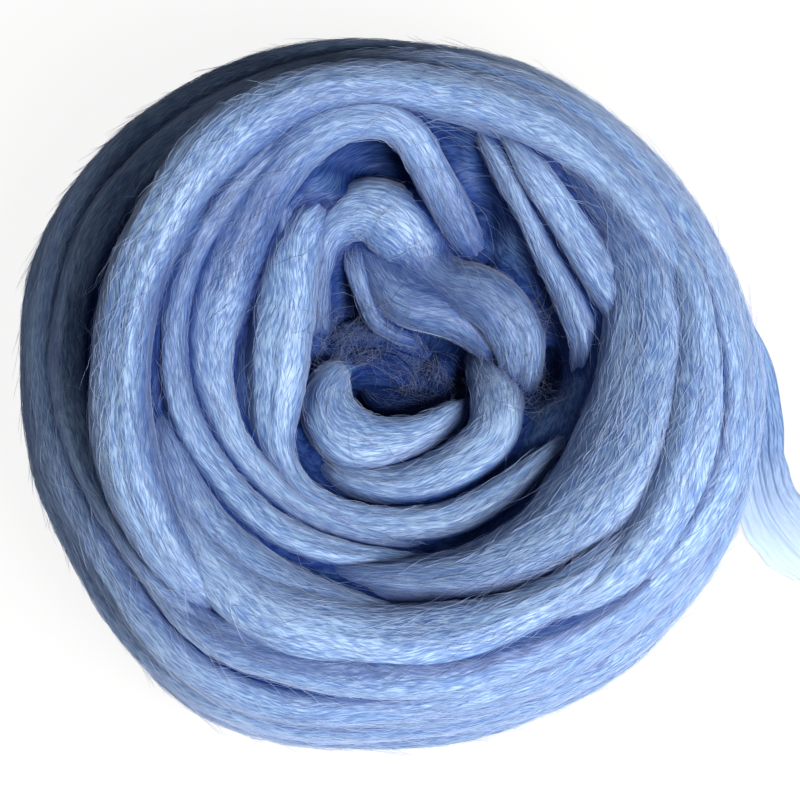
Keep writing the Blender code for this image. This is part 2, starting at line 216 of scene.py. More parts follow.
strandLook = {
    "ringStep": 3.4,  # between rings along a strand
    "finer": (0.3, 0.6),  # on thin ones it is at most this share of the half width plus this
    "endRings": (0.2, 0.5),  # extra rings that round off the ends, in steps
    "sides": 44,
    "crowding": 0.42,  # how much closer the points lie on the outer side
    "ridges": (2, 3, 4, 5, 7, 9, 12, 15),  # lengthwise ridges round a strand, from broad to fine
    "ridgeDepth": 0.45,
    "ridgeFade": 0.75,  # how fast finer ridges grow shallower
    "fullRidges": 8.0,  # thinner strands have shallower ridges
    "widen": 1.03,
    "trim": 1.0,  # taken off a strand all round, so that its ridges stay within the form
    "swell": 0.035,  # how much a strand thickens and thins along its length
    "swellEvery": 26.0,
    "wanderEvery": 34.0,  # over this length ridges shift and fade
    "wander": 0.16,
    "strength": (0.6, 0.4),  # mean and spread of a ridge's depth
    "shortestEnd": 4.0,
    "endScale": 0.25,
}


# Smooth random values along a strand, one column for each ridge.
def drifting(random, lengths, every, columns, size):
    knots = random.normal(0, size, (max(4, int(lengths[-1] / every) + 2), columns))
    where = lengths / max(lengths[-1], 1e-6)
    return np.stack([readAlong(knots[:, column], where) for column in range(columns)], axis=1)


# A strand's surface is its path plus an oval across it, whose size is ridged by cosines of the
# angle, each with a phase and depth that drift along the strand.
def strandGrid(path, seed, step=None, sides=None, depth=1.0):
    look = strandLook
    centres, normals, halfWidth, halfThickness = path
    random = np.random.default_rng(seed)
    lengths = lengthsOf(centres)
    share, more = look["finer"]
    step = min(step or look["ringStep"], share * float(np.mean(halfWidth)) + more)
    even = np.linspace(0, lengths[-1], max(6, round(lengths[-1] / step) + 1))
    closer = even[1] * np.array(look["endRings"])
    even = np.sort(np.concatenate([even, closer, lengths[-1] - closer]))
    middle = readTable(even, lengths, centres)
    square = unitOf(readTable(even, lengths, normals))
    width, thickness = np.interp(even, lengths, halfWidth), np.interp(even, lengths, halfThickness)
    toEnd = np.minimum(even, lengths[-1] - even) / np.maximum(width, look["shortestEnd"])
    ends = np.maximum(np.sqrt(1 - (1 - np.clip(toEnd, 0, 1)) ** 2), look["endScale"])
    swell = 1 + look["swell"] * drifting(random, even, look["swellEvery"], 1, 1.0)[:, 0]
    turn = np.linspace(-0.5 * np.pi, 1.5 * np.pi, sides or look["sides"], endpoint=False)  # seam below
    angle = turn + look["crowding"] * np.cos(turn)
    ridges = np.array(look["ridges"])
    phase = np.cumsum(drifting(random, even, look["wanderEvery"], len(ridges), look["wander"]), axis=0) * 0.25
    phase += random.uniform(0, 2 * np.pi, len(ridges))
    mean, spread = look["strength"]
    strength = mean + spread * drifting(random, even, look["wanderEvery"], len(ridges), 1.0)
    strength *= depth * look["ridgeDepth"] * (ridges / 3.0) ** -look["ridgeFade"]
    waves = np.cos(ridges[None, None, :] * angle[None, :, None] + phase[:, None, :])
    ridge = (strength[:, None, :] * waves).sum(axis=2)
    ridge *= np.clip(thickness / look["fullRidges"], 0.25, 1.0)[:, None]
    ahead = unitOf(np.gradient(middle, axis=0))
    across = unitOf(np.cross(square, ahead))
    out = np.cross(ahead, across)
    wide = ((width * swell * look["widen"] - look["trim"]) * ends)[:, None] + ridge * ends[:, None]
    thick = ((thickness * swell - look["trim"]) * ends)[:, None] + ridge * ends[:, None]
    side = (np.cos(angle)[None, :] * wide)[:, :, None] * across[:, None, :]
    lift = (np.sin(angle)[None, :] * thick)[:, :, None] * out[:, None, :]
    grid = middle[:, None, :] + side + lift
    grid[:, :, 2] = np.maximum(grid[:, :, 2], 0.0)
    closed = np.append(angle, angle[0] + 2 * np.pi)
    arc = np.hypot(float(np.mean(width)) * np.diff(np.cos(closed)),
                   float(np.mean(thickness)) * np.diff(np.sin(closed)))
    return grid, even, summed(arc)


# A strand laid on the coil, its top on the coil's own surface where its lift is nought.
def laidPath(bearing, along, halfWidth, lift):
    thickness = np.minimum(halfWidth * nestForm["flatness"], nestForm["thickest"])
    points, normals = onCoil(bearing, along)
    return points + normals * (lift - thickness)[:, None], normals, halfWidth, thickness


def coilPath(strand):
    where = np.linspace(0, 1, 300)
    bearing = strand["start"] + (strand["end"] - strand["start"]) * where
    along = alongAtRadius(readAlong(strand["radius"], where))
    return laidPath(bearing, along, readAlong(strand["halfWidth"], where), readAlong(strand["lift"], where))


# A curl on a free path, whose points are the middle of its upper side.
def curlPath(curl):
    where = np.linspace(0, 1, 200)
    halfWidth = readAlong(curl["halfWidth"], where)
    thickness = halfWidth * nestForm["curlFlatness"]
    tops = np.stack([readAlong(curl[axis], where) for axis in "xyz"], axis=-1)
    up = np.tile([0.0, 0.0, 1.0], (len(where), 1))
    return tops - up * thickness[:, None], up, halfWidth, thickness


coilStrands = {
    "northRim": dict(start=22, end=132, radius=(119, 117, 117, 119, 124), halfWidth=(7, 10, 11, 9, 6),
        lift=(-4, 0, -3)),
    "northWestRim": dict(start=96, end=222, radius=(118, 121, 124, 124, 127), halfWidth=(6, 9, 9, 9, 6),
        lift=(-5, -7, -9, -7, -4)),
    "southWestRim": dict(start=186, end=302, radius=(130, 132, 134, 133, 131), halfWidth=(7, 9, 9, 8, 5),
        lift=(-2, 1, 1, -2)),
    "southShoulder": dict(start=212, end=342, radius=(122, 122, 122, 120, 119, 120, 121, 123, 126, 129, 129),
        halfWidth=(2, 6.5, 10, 11.5, 12, 12, 11, 9, 7, 5.5, 3),
        lift=(-8, -1.5, 0, 0.5, 0.5, 0.5, 0.5, 0, -0.5, -2, -7)),
    "eastShoulder": dict(start=291, end=393, radius=(109, 111, 114, 115, 114, 113, 113, 113, 115, 117, 117),
        halfWidth=(1.5, 5, 7.5, 10, 11, 11, 11, 10, 8.5, 7, 3.5),
        lift=(-8, -3, 0, 1.5, 2, 2, 1.5, 1, 0.5, -3, -9)),
    "southCrest": dict(start=195, end=331, radius=(90, 92, 97, 100, 100, 99, 99, 100, 102, 104, 105),
        halfWidth=(2, 5.5, 8, 10.5, 12.5, 13.5, 13, 11.5, 9, 6.5, 3),
        lift=(-9, -4, -1, 1, 2, 2, 2, 1.5, 0.5, -1.5, -8)),
    "eastCrest": dict(start=247, end=417,
        radius=(73, 72, 73, 74, 76, 77, 79, 80, 82, 83, 85, 88, 91, 94, 95, 96, 97),
        halfWidth=(3, 6.5, 9.5, 12.5, 15.5, 17.5, 19.5, 22, 22, 23, 22, 21, 19, 17.5, 16, 13.5, 8.5),
        lift=(-10, -4.5, -1, 0.5, 1.5, 2.5, 3, 3, 3, 2.5, 2, 1, -0.5, -1.5, -2.5, -4, -9)),
    "westCrest": dict(start=4, end=238,
        radius=(117, 112, 109, 107, 105, 105, 106, 107, 105, 102, 99, 99, 99, 102, 106, 110, 112),
        halfWidth=(3, 7, 9, 9.5, 10, 10.5, 11, 11, 11.5, 12, 12, 11.5, 11.5, 12, 11, 8, 3.5),
        lift=(-9, -2.5, 0, 0.5, 1, 2, 2.5, 3.5, 5, 6, 6, 6, 6, 6, 5, 1.5, -7)),
    "westRidge": dict(start=101, end=284, radius=(98, 92, 87, 84, 80, 77, 73, 71, 68, 65, 64),
        halfWidth=(3, 5.5, 6.5, 6.5, 6.5, 7, 7.5, 7.5, 7, 5, 2.5),
        lift=(-6, -0.5, 1, 1, 1, 1, 1, 1, 0, -2.5, -8)),
    "innerTurn": dict(start=55, end=285,
        radius=(47, 55, 70, 88.5, 92, 88.5, 82, 75.5, 70.5, 68, 66.5, 65, 63, 62, 60, 59, 58, 57, 57, 57, 60),
        halfWidth=(6.5, 8, 8, 7.5, 8, 10, 12.5, 14, 14.5, 14, 12.5, 10.5, 8.5, 7.5, 7, 6.5, 6.5, 6, 5, 4, 2),
        lift=(-13, -5, 2, 3.5, 2.5, 2, 2.5, 3, 3, 3, 2.5, 1.5, 1, 1, 1, 0.5, 0, -1, -2.5, -5, -9)),
    "northSlope": dict(start=17, end=73, radius=(69, 69, 71, 73, 78, 85, 96),
        halfWidth=(8, 10.5, 11.5, 11.5, 10.5, 8, 4.5), lift=(-12, -8.5, -5.5, -4.5, -4, -4.5, -9)),
    "northRidge": dict(start=2, end=69, radius=(74, 79, 81, 80, 80, 81, 83, 86, 91, 97),
        halfWidth=(7, 9, 9, 8.5, 8, 7.5, 7, 6.5, 5, 3), lift=(-19, -10, -3, 1, 2.5, 3, 3, 2, -1, -8)),
    "northRidgeInner": dict(start=-4, end=73, radius=(56, 61, 65, 66, 67, 68, 70, 74, 79, 85, 92),
        halfWidth=(6, 8, 8, 7.5, 7, 6.5, 6, 6, 6, 5, 3.5), lift=(-20, -11, -4.5, -1, 0, 1, 1, 1, 0, -2, -8)),
    "southFold": dict(start=188, end=278, radius=(85, 85, 87, 88, 88, 87, 88, 91),
        halfWidth=(4.5, 9, 12.5, 14, 13.5, 12, 9, 4.5), lift=(-6, -2.5, -1, -1, -1, -2, -4, -8)),
    "eastRim": dict(start=276, end=373, radius=(123, 124, 126, 127, 129, 130, 132, 133, 133, 133, 132),
        halfWidth=(5, 8, 9.5, 10.5, 11, 11.5, 12, 11.5, 10.5, 8.5, 4.5),
        lift=(-8, -3.5, -1.5, 0, 0.5, 1, 1, 1, 0.5, -2, -7)),
    "wellSouthWest": dict(start=119, end=343,
        radius=(74, 60, 51, 47, 47, 48, 51, 53, 53, 52, 52, 53, 54, 57, 61),
        halfWidth=(3.5, 11.5, 13.5, 13.5, 12.5, 11, 9.5, 8.5, 8, 8, 8, 8, 7.5, 6.5, 5),
        lift=(-8, -0.5, 1, 1, 1, 1, 1, 1, 1, 1, 1, 0.5, -0.5, -2.5, -8)),
}

wellCurls = {
    "upperLobe": dict(x=(-30, -31, -30, -28, -21, -11, -1, 6, 12, 20, 31, 39, 45, 47, 47, 45),
        y=(20, 33, 45, 55, 63, 66, 62, 55, 46, 39, 34, 28, 19, 9, 1, -6),
        z=(44, 55, 62, 67, 70, 72, 71, 67, 64, 65, 69, 70, 66, 60, 51, 40),
        halfWidth=(3.5, 5, 6.5, 8.5, 11.5, 13.5, 15, 15.5, 14, 12, 11.5, 11.5, 11, 9.5, 7, 4)),
    "turningUnder": dict(x=(-15, -10, -4, 4, 14, 24, 33, 40, 44, 45),
        y=(58, 49, 41, 33, 30, 27, 21, 12, 3, -5), z=(56, 60, 62, 63, 62, 60, 57, 51, 44, 35),
        halfWidth=(5, 8, 11, 11.5, 11, 10.5, 9.5, 7.5, 5.5, 3)),
    "wellLoop": dict(x=(-19, -17, -16, -14, -11, -8, -2, 5, 12), y=(64, 55, 48, 40, 33, 26, 22, 20, 18),
        z=(52, 58, 60, 60, 58, 56, 52, 47, 40), halfWidth=(3.5, 4, 5, 5, 5, 5, 4.5, 4, 3)),
    "flap": dict(x=(-16, -26, -35, -40, -42, -43, -44, -45, -46, -47, -45, -40, -35),
        y=(79, 72, 62, 49, 37, 25, 15, 4, -7, -19, -29, -39, -45),
        z=(60, 68, 73, 76, 77, 76, 75, 74, 72, 71, 70, 68, 62),
        halfWidth=(3.5, 8, 10.5, 12, 12.5, 12.5, 12, 12, 11, 9.5, 7.5, 5, 2.5)),
    "wellWall": dict(x=(-18, -24, -28, -29, -29, -26), y=(59, 56, 47, 37, 28, 22),
        z=(52, 58, 58, 55, 49, 40), halfWidth=(3, 4.5, 5, 5, 4, 3)),
    "pitNorth": dict(x=(-29, -22, -13, -3, 7, 13), y=(17, 22, 24, 23, 18, 13), z=(36, 43, 45, 44, 41, 36),
        halfWidth=(3.5, 5.5, 6.5, 6.5, 5.5, 3.5)),
    "pitMiddle": dict(x=(-30, -22, -12, -2, 5, 7), y=(5, 9, 13, 11, 5, -3), z=(34, 39, 41, 41, 39, 35),
        halfWidth=(3.5, 5.5, 7, 7, 5.5, 4)),
    "pitEast": dict(x=(15, 16, 17, 15), y=(21, 13, 5, -3), z=(36, 40, 40, 36), halfWidth=(3.5, 6.5, 7, 4.5)),
    "pitSouth": dict(x=(-16, -5, 6, 17, 23), y=(5, -2, -5, -2, 6), z=(33, 37, 38, 37, 33),
        halfWidth=(4, 7, 7.5, 7, 4)),
    "lipInside": dict(x=(-17, -24, -27, -22, -12, 1, 12, 22, 27), y=(12, 5, -6, -17, -23, -22, -18, -10, -1),
        z=(42, 51, 57, 60, 60, 59, 57, 51, 42), halfWidth=(5.5, 9, 11.5, 12.5, 12.5, 10.5, 9, 6.5, 3.5)),
    "lipOutside": dict(x=(27, 34, 38, 36, 26, 12, -3, -18, -30), y=(20, 8, -6, -20, -30, -37, -39, -35, -26),
        z=(38, 51, 60, 64, 65, 64, 62, 58, 50), halfWidth=(4.5, 8.5, 10.5, 10.5, 9.5, 9, 8, 7, 5)),
}

# Painted shade along the length of strands that lie turned away or under others, besides the painted shade of
# the creases.
shadedAlong = {
    "upperLobe": (0.1, 0, 0, 0, 0, 0, 0.1, 0.45, 0.8, 0.85, 0.8, 0.72, 0.6, 0.6, 0.75, 0.85),
    "turningUnder": (0.9, 0.85, 0.8, 0.8, 0.78, 0.76, 0.8, 0.86, 0.92, 0.95),
    "northSlope": (0.75, 0.75, 0.7, 0.65, 0.65, 0.7, 0.8),
    "northRidgeInner": (1, 0.95, 0.8, 0.62, 0.5, 0.42, 0.4, 0.35, 0.3, 0.4, 0.6),
    "northRidge": (1, 0.95, 0.75, 0.5, 0.3, 0.15, 0.15, 0.15, 0.2, 0.4),
    "innerTurn": (0.95, 0.9, 0.85, 0.7, 0.4, 0.2, 0.35, 0.65, 0.84, 0.84, 0.75, 0.5, 0.2, 0.1, 0, 0, 0, 0, 0,
        0, 0.2),
    "eastCrest": (0.85, 0.8, 0.72, 0.55, 0.3, 0.1, 0, 0, 0, 0, 0.1, 0.35, 0.6, 0.8, 0.88, 0.9, 0.9),
    "westCrest": (0, 0, 0, 0, 0, 0, 0.25, 0.5, 0.35, 0.1, 0, 0, 0, 0, 0, 0, 0),
    "westRidge": (0.3, 0.5, 0.62, 0.72, 0.7, 0.6, 0.45, 0.3, 0.2, 0.2, 0.3),
    "pitNorth": (1, 0.95, 0.9, 0.92, 0.97, 1),
    "pitMiddle": (1, 1, 1, 1, 1, 1),
    "pitEast": (1, 0.97, 0.97, 1),
    "wellLoop": (0.85, 0.75, 0.7, 0.7, 0.75, 0.85, 0.95, 1, 1),
    "pitSouth": (1, 1, 1, 1, 1),
    "wellWall": (0.6, 0.5, 0.5, 0.5, 0.6, 0.7),
}

outerWall = {"turns": 4.2, "start": 205.0, "pitch": 24.0, "top": 118.0, "halfWidth": 12.6, "swell": 1.2,
             "wander": 2.4, "tuck": 0.06, "sides": 32}


# The outer wall is one long strand that climbs from the table to the shoulder.
def wallPath():
    wall = outerWall
    where = np.linspace(0, 1, 1500)
    bearing = wall["start"] + 360.0 * wall["turns"] * where
    angle = np.radians(bearing)
    along = alongAtRadius(wall["top"]) + wall["pitch"] * wall["turns"] * (1 - where)
    stray = wall["wander"] * np.sin(1.31 * angle + 0.7) + wall["swell"] * np.sin(2.77 * angle)
    halfWidth = wall["halfWidth"] + wall["swell"] * np.sin(0.83 * angle)
    tucked = np.clip((where - 1 + wall["tuck"]) / wall["tuck"], 0, 1)
    return laidPath(bearing, along + stray, halfWidth * (1 - 0.6 * tucked), -6 * tucked)


underWind = {"pitch": 18.0, "first": 112.0, "last": 14.0, "halfWidth": 10.5, "swell": 1.2, "lift": -9.5,
             "stray": 3.0, "start": 70.0, "step": 6.0, "sides": 20}


# The turns under the outer ones, a flat spiral from the well over the crest to the table.
def underPath():
    wind = underWind
    span = section[2][-1] - wind["first"] - wind["last"]
    where = np.linspace(0, 1, 3000)
    bearing = wind["start"] + 360.0 * span / wind["pitch"] * where
    angle = np.radians(bearing)
    along = wind["first"] + span * where + wind["stray"] * np.sin(1.37 * angle)
    halfWidth = wind["halfWidth"] + wind["swell"] * np.sin(2.3 * angle + 1.0)
    return laidPath(bearing, along, halfWidth, np.full(len(where), wind["lift"]))


packedMiddle = {"seed": 5, "inset": 7.0, "spokes": 144, "rings": 70, "strays": (2.0, 1.5), "grooves": 1.2,
                "grooveEvery": 9.0, "sag": 0.6,
                "pits": ((-4, 20, 24, 30, 4.0), (-6, 83, 21, 9, 24.0),  # x, y, half sizes and depth
                         (33, 62, 7, 12, 14.0), (55, 8, 8, 12, 24.0))}


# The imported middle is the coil's own section turned all round and drawn in, with rings of grooves.
def middleGrid():
    look = packedMiddle
    random = np.random.default_rng(look["seed"])
    slow, fast = look["strays"]
    bearing = np.linspace(360, 0, look["spokes"], endpoint=False)
    angle = np.radians(bearing)
    rows = []
    phases = random.uniform(0, 2 * np.pi, 4)
    for distance in np.linspace(4.0, section[2][-1] - 2.0, look["rings"]):
        points, normals = onCoil(bearing, np.full(len(bearing), distance))
        stray = slow * np.sin(2 * angle + phases[0]) + fast * np.sin(5 * angle + phases[1])
        groove = look["grooves"] * np.cos(2 * np.pi * (distance + stray) / look["grooveEvery"])
        sag = look["sag"] * np.sin(7 * angle + phases[2] + 0.05 * distance)
        ring = points - normals * (look["inset"] - groove - sag)[:, None]
        for x, y, wide, deep, depth in look["pits"]:
            ring[:, 2] -= depth * np.exp(-(((ring[:, :2] - (x, y)) / (wide, deep)) ** 2).sum(axis=1))
        rows.append(ring)
    grid = np.stack(rows + [rows[-1] * [1, 1, 0]])
    grid[:, :, 2] = np.maximum(grid[:, :, 2], 0.0)
    return grid, lengthsOf(grid[:, 0]), np.linspace(0, 2 * np.pi * 90.0, look["spokes"] + 1)


looseEnd = {
    "x": (111, 124, 134, 139.5, 141, 141.5, 145, 152, 161),
    "y": (50, 44, 32, 15, -3, -21, -37, -49, -59),
    "halfWidth": (4, 5, 6.5, 9, 10.5, 11, 13, 14, 11),
    "lift": (12, 10, 6, 2, 0, 0, 0, 0, 0),  # of the outer edge above the table
    "lean": (1, 2, 4, 6, 6, 6, 3, 1, 0),  # of the inner edge above the outer one
    "length": 150,  # about, for how often its edges wander
    "clearance": 0.05,  # above the table
    "thickness": 1.8,
    "thinnest": 0.15,
    "stations": 150,
    "across": 56,
    "seed": 31,
    "ragged": 0.03,  # share of its width
    "raggedEvery": 7.0,
    "ripple": 0.6,
    "fray": 8.0,
    "frayFrom": 0.8,
    "notches": 0.25,
    "ridges": (3, 5, 8, 13, 19),
    "ridgeDepth": 0.5,
    "wanderEvery": 30.0,
}


# The loose end is a thin closed sheet: a strip carried along its path, its inner side raised
# against the wall, its top ridged lengthwise and its tip torn.
def looseGrid():
    look = looseEnd
    random = np.random.default_rng(look["seed"])
    where = np.linspace(0, 1, look["stations"])
    path = np.stack([readAlong(look[axis], where) for axis in "xy"], axis=-1)
    ahead = unitOf(np.gradient(path, axis=0))
    outward = np.stack([-ahead[:, 1], ahead[:, 0]], axis=-1)
    halfWidth = readAlong(look["halfWidth"], where)
    across = np.linspace(-1, 1, look["across"])
    ragged = 1 + look["ragged"] * drifting(random, where * look["length"], look["raggedEvery"], 2, 1.0)
    reach = np.where(across[None, :] > 0, ragged[:, :1], ragged[:, 1:])
    flat = path[:, None, :] + outward[:, None, :] * (halfWidth[:, None] * across * reach)[:, :, None]
    torn = np.cos(0.5 * np.pi * across) + look["notches"] * np.cos(3.5 * np.pi * across)
    torn += 0.12 * np.cos(11 * np.pi * across + 0.6) + 0.1 * np.cos(19 * np.pi * across)
    fraying = np.clip((where - look["frayFrom"]) / (1 - look["frayFrom"]), 0, 1)[:, None] ** 2
    flat += ahead[:, None, :] * (look["fray"] * torn * fraying)[:, :, None]
    inner = np.clip(-across, 0, 1) ** 1.5
    ripple = look["ripple"] * (1 + np.sin(3 * np.pi * across)) * np.sin(np.pi * where)[:, None]
    low = readAlong(look["lift"], where)[:, None] + readAlong(look["lean"], where)[:, None] * inner + ripple
    waves = np.array(look["ridges"])
    shift = drifting(random, where * look["length"], look["wanderEvery"], len(waves), 0.12)
    shift = np.cumsum(shift, axis=0) * 0.3
    ridge = np.cos(waves * np.pi * across[None, :, None] + shift[:, None, :] + waves)
    ridge = (ridge * look["ridgeDepth"] * (waves / 3.0) ** -0.6).sum(axis=2) * (1 - across ** 4)
    thin = np.clip(1 - np.abs(across) ** 6, 0.12, 1) * np.interp(where, [0, 0.75, 1], [1, 0.9, 0.35])[:, None]
    bottom = low + look["clearance"]
    top = bottom + np.maximum(look["thickness"] * thin + ridge * thin, look["thinnest"])
    bottom, top = np.dstack([flat, bottom]), np.dstack([flat, top])
    grid = np.concatenate([bottom, top[:, ::-1]], axis=1)
    arc = np.linspace(0, 4 * float(np.mean(halfWidth)), grid.shape[1] + 1)
    return grid, lengthsOf(path), arc


# How deep a point lies among the strands, which sets painted shade in the hollows: the space about it
# is cut into small cells, those within the wool are marked and blurred, and the mark is read a little
# way out from the surface.
hollows = {"cell": 2.5, "low": (-165.0, -160.0, -15.0), "cells": (138, 132, 52), "reach": (2, 5),
           "outwards": 1.5, "share": (0.5, 0.5),
           "contactPower": 1.5,  # of the painted-shade mark, which paints shade where strands meet
           "shadeBelow": 0.9}  # how much of that mark a hair takes from the strand under it


def blurred(field, cells):
    for axis in range(3):
        margins = [(cells + 1, cells) if other == axis else (0, 0) for other in range(3)]
        sums = np.cumsum(np.pad(field, margins, mode="edge"), axis=axis)
        ahead = np.take(sums, range(2 * cells + 1, sums.shape[axis]), axis=axis)
        behind = np.take(sums, range(0, sums.shape[axis] - 2 * cells - 1), axis=axis)
        field = (ahead - behind) / (2 * cells + 1)
    return field


def woolCells(points):
    cell, low, count = hollows["cell"], np.array(hollows["low"]), np.array(hollows["cells"])
    place = ((points - low) / cell).astype(int)
    inside = ((place >= 0) & (place < count)).all(axis=1)
    place = place[inside]
    tops = np.full((count[0], count[1]), -20.0)
    np.maximum.at(tops, (place[:, 0], place[:, 1]), points[inside, 2])
    x, y, heights = (low[axis] + cell * (np.arange(count[axis]) + 0.5) for axis in range(3))
    filled = (heights[None, None, :] < tops[:, :, None]).astype(float)
    bearing = np.degrees(np.arctan2(y[None, :], x[:, None]))
    away = np.hypot(x[:, None], y[None, :]) / bellyScale(bearing, 140.0)
    wide = int(np.argmax(section[0]))
    wall = np.interp(heights, section[1][:wide - 1:-1], section[0][:wide - 1:-1])
    wall[heights > section[1][wide]] = 200.0  # above its widest place the coil has no wall
    filled *= away[:, :, None] < wall[None, None, :]
    filled[:, :, heights < 0] = 1.0
    return low, [blurred(blurred(filled, reach), 1) for reach in hollows["reach"]]


def hollowShadeAt(cells, points, normals):
    low, fields = cells
    place = (points + normals * hollows["outwards"] - low) / hollows["cell"] - 0.5
    place = np.clip(place, 0, np.array(fields[0].shape) - 1.001)
    first = place.astype(int)
    part = place - first
    depth = 0.0
    for field, share in zip(fields, hollows["share"]):
        for corner in range(8):
            step = np.array([corner & 1, corner >> 1 & 1, corner >> 2])
            weight = np.where(step, part, 1 - part).prod(axis=1)
            depth = depth + share * weight * field[tuple((first + step).T)]
    return np.clip(depth, 0, 1)


def markHollowShade(piece, cells):
    places, outwards = (pointsOf(piece.data, what) for what in ("co", "normal"))
    markPoints(piece, "depth", hollowShadeAt(cells, places / mm, outwards))


# A shader node with its settings; its sockets are given values, or other nodes' outputs to link.
def addNode(tree, kind, given=None, **settings):
    node = tree.nodes.new("ShaderNode" + kind)
    for setting, value in settings.items():
        setattr(node, setting, value)
    giveSockets(tree, node, given or {})
    return node


def giveSockets(tree, node, given):
    for socket, value in given.items():
        if isinstance(value, bpy.types.NodeSocket):
            tree.links.new(value, node.inputs[socket])
        else:
            node.inputs[socket].default_value = value


def maths(tree, operation, *values, clamp=False):
    return addNode(tree, "Math", dict(enumerate(values)), operation=operation, use_clamp=clamp).outputs[0]


def mixed(tree, share, first, second, **settings):
    sockets = {"Factor": share, 6: first, 7: (*second, 1)}
    return addNode(tree, "Mix", sockets, data_type="RGBA", **settings).outputs[2]


# A node group whose inputs are numbers with their first values, or a vector where that is None.
def newGroup(name, inputs, outputs):
    group = bpy.data.node_groups.new(name, "ShaderNodeTree")
    for socketName, value in inputs.items():
        kind = "NodeSocketVector" if value is None else "NodeSocketFloat"
        socket = group.interface.new_socket(socketName, in_out="INPUT", socket_type=kind)
        if value is not None:
            socket.default_value = value
    for socketName in outputs:
        group.interface.new_socket(socketName, in_out="OUTPUT", socket_type="NodeSocketFloat")
    return group, group.nodes.new("NodeGroupInput").outputs, group.nodes.new("NodeGroupOutput")


# Rates are for each millimetre lengthwise and across; strays are in millimetres.
fibreLook = {
    "broad": (0.04, 0.07), "broadStray": 7.0,
    "crimp": (0.14, 0.22), "crimpStray": 0.6,
    "threads": ((0.04, 0.68, 0.11), (0.17, 0.57, 0.13), (-0.19, 0.61, 0.12)),  # slant, across, lengthwise
    "thinness": 9.0,  # of the threads
    "fine": (0.15, 0.66), "middling": (0.06, 0.34), "lock": (0.018, 0.12),
    "streak": {"threads": 0.23, "middling": 0.18, "least": 0.19, "fine": 2.4},
    "height": {"threads": 0.12, "fine": 0.25, "middling": 0.30, "lock": 1.2},
}


# Combed fibres: threads are the thin lines where stretched noise crosses its middle value, in three
# lays that cross at small angles, over broader locks. Lay holds millimetres: X and Y lengthwise, Z across.
def fibreGroup():
    look, streaks, heights = fibreLook, fibreLook["streak"], fibreLook["height"]
    group, given, made = newGroup("combedFibres", {"Lay": None, "Fine Width": 0.6, "Crimp": 1.0},
                                  ("Streak", "Lock", "Height"))
    lengthX, lengthY, across = addNode(group, "SeparateXYZ", {0: given["Lay"]}).outputs
    calc = partial(maths, group)

    def noise(rates, place, detail, roughness=0.5, slant=0.0):
        if slant:
            place = calc("MULTIPLY_ADD", lengthX, slant, place)
        vector = addNode(group, "CombineXYZ", {
            0: calc("MULTIPLY", lengthX, rates[0]), 1: calc("MULTIPLY", lengthY, rates[0]),
            2: calc("MULTIPLY", place, rates[1])}).outputs[0]
        return addNode(group, "TexNoise", {"Vector": vector, "Scale": 1.0, "Detail": detail,
                                           "Roughness": roughness}).outputs[0]

    def strays(part):
        return calc("MULTIPLY", calc("SUBTRACT", noise(look[part], across, 0.0), 0.5), look[part + "Stray"])

    shake = calc("MULTIPLY", strays("crimp"), given["Crimp"])
    bent = calc("ADD", calc("ADD", across, strays("broad")), shake)
    fineRate = calc("DIVIDE", 1.0, given["Fine Width"])
    threads = None
    for slant, rate, lengthwise in look["threads"]:
        lay = noise((lengthwise, calc("MULTIPLY", fineRate, rate)), bent, 1.0, 0.55, slant)
        away = calc("ABSOLUTE", calc("SUBTRACT", lay, 0.5))
        thread = calc("MULTIPLY_ADD", away, -look["thinness"], 1.0, clamp=True)
        threads = thread if threads is None else calc("ADD", threads, thread)
    fine = noise((look["fine"][0], calc("MULTIPLY", fineRate, look["fine"][1])), bent, 1.0, 0.7)
    middling = noise(look["middling"], bent, 1.0)
    lock = noise(look["lock"], bent, 0.0)
    streak = calc("MULTIPLY_ADD", middling, streaks["middling"], streaks["least"])
    streak = calc("MULTIPLY_ADD", threads, streaks["threads"], streak)
    streak = calc("MULTIPLY_ADD", calc("SUBTRACT", fine, 0.5), streaks["fine"], streak, clamp=True)
    height = calc("MULTIPLY_ADD", threads, heights["threads"], calc("MULTIPLY", fine, heights["fine"]))
    height = calc("MULTIPLY_ADD", middling, heights["middling"], height)
    height = calc("ADD", height, calc("MULTIPLY", lock, heights["lock"]))
    lock = calc("MULTIPLY_ADD", calc("SUBTRACT", lock, 0.5), 2.0, 0.5, clamp=True)
    giveSockets(group, made, {"Streak": streak, "Lock": lock, "Height": height})
    return group


# Painted shade in the hollows and creases: the depth mark from open to buried, and the painted-shade
# mark to a power, as the share of the darker shade colour.
def hollowGroup():
    group, given, made = newGroup("hollowShade", {"Open": 0.45, "Buried": 0.8, "Strength": 0.8}, ("ShadeShare",))
    calc = partial(maths, group)
    depth, paintedShade = (addNode(group, "Attribute", attribute_name=mark).outputs["Fac"]
                    for mark in ("depth", "paintedShade"))
    span = calc("SUBTRACT", given["Buried"], given["Open"])
    deep = calc("DIVIDE", calc("SUBTRACT", depth, given["Open"]), span, clamp=True)
    left = calc("SUBTRACT", 1.0, calc("MULTIPLY", deep, given["Strength"]))
    left = calc("MULTIPLY", left, calc("SUBTRACT", 1.0, calc("POWER", paintedShade, hollows["contactPower"])))
    giveSockets(group, made, {"ShadeShare": calc("SUBTRACT", 1.0, left)})
    return group


fibres = fibreGroup()
hollowShade = hollowGroup()

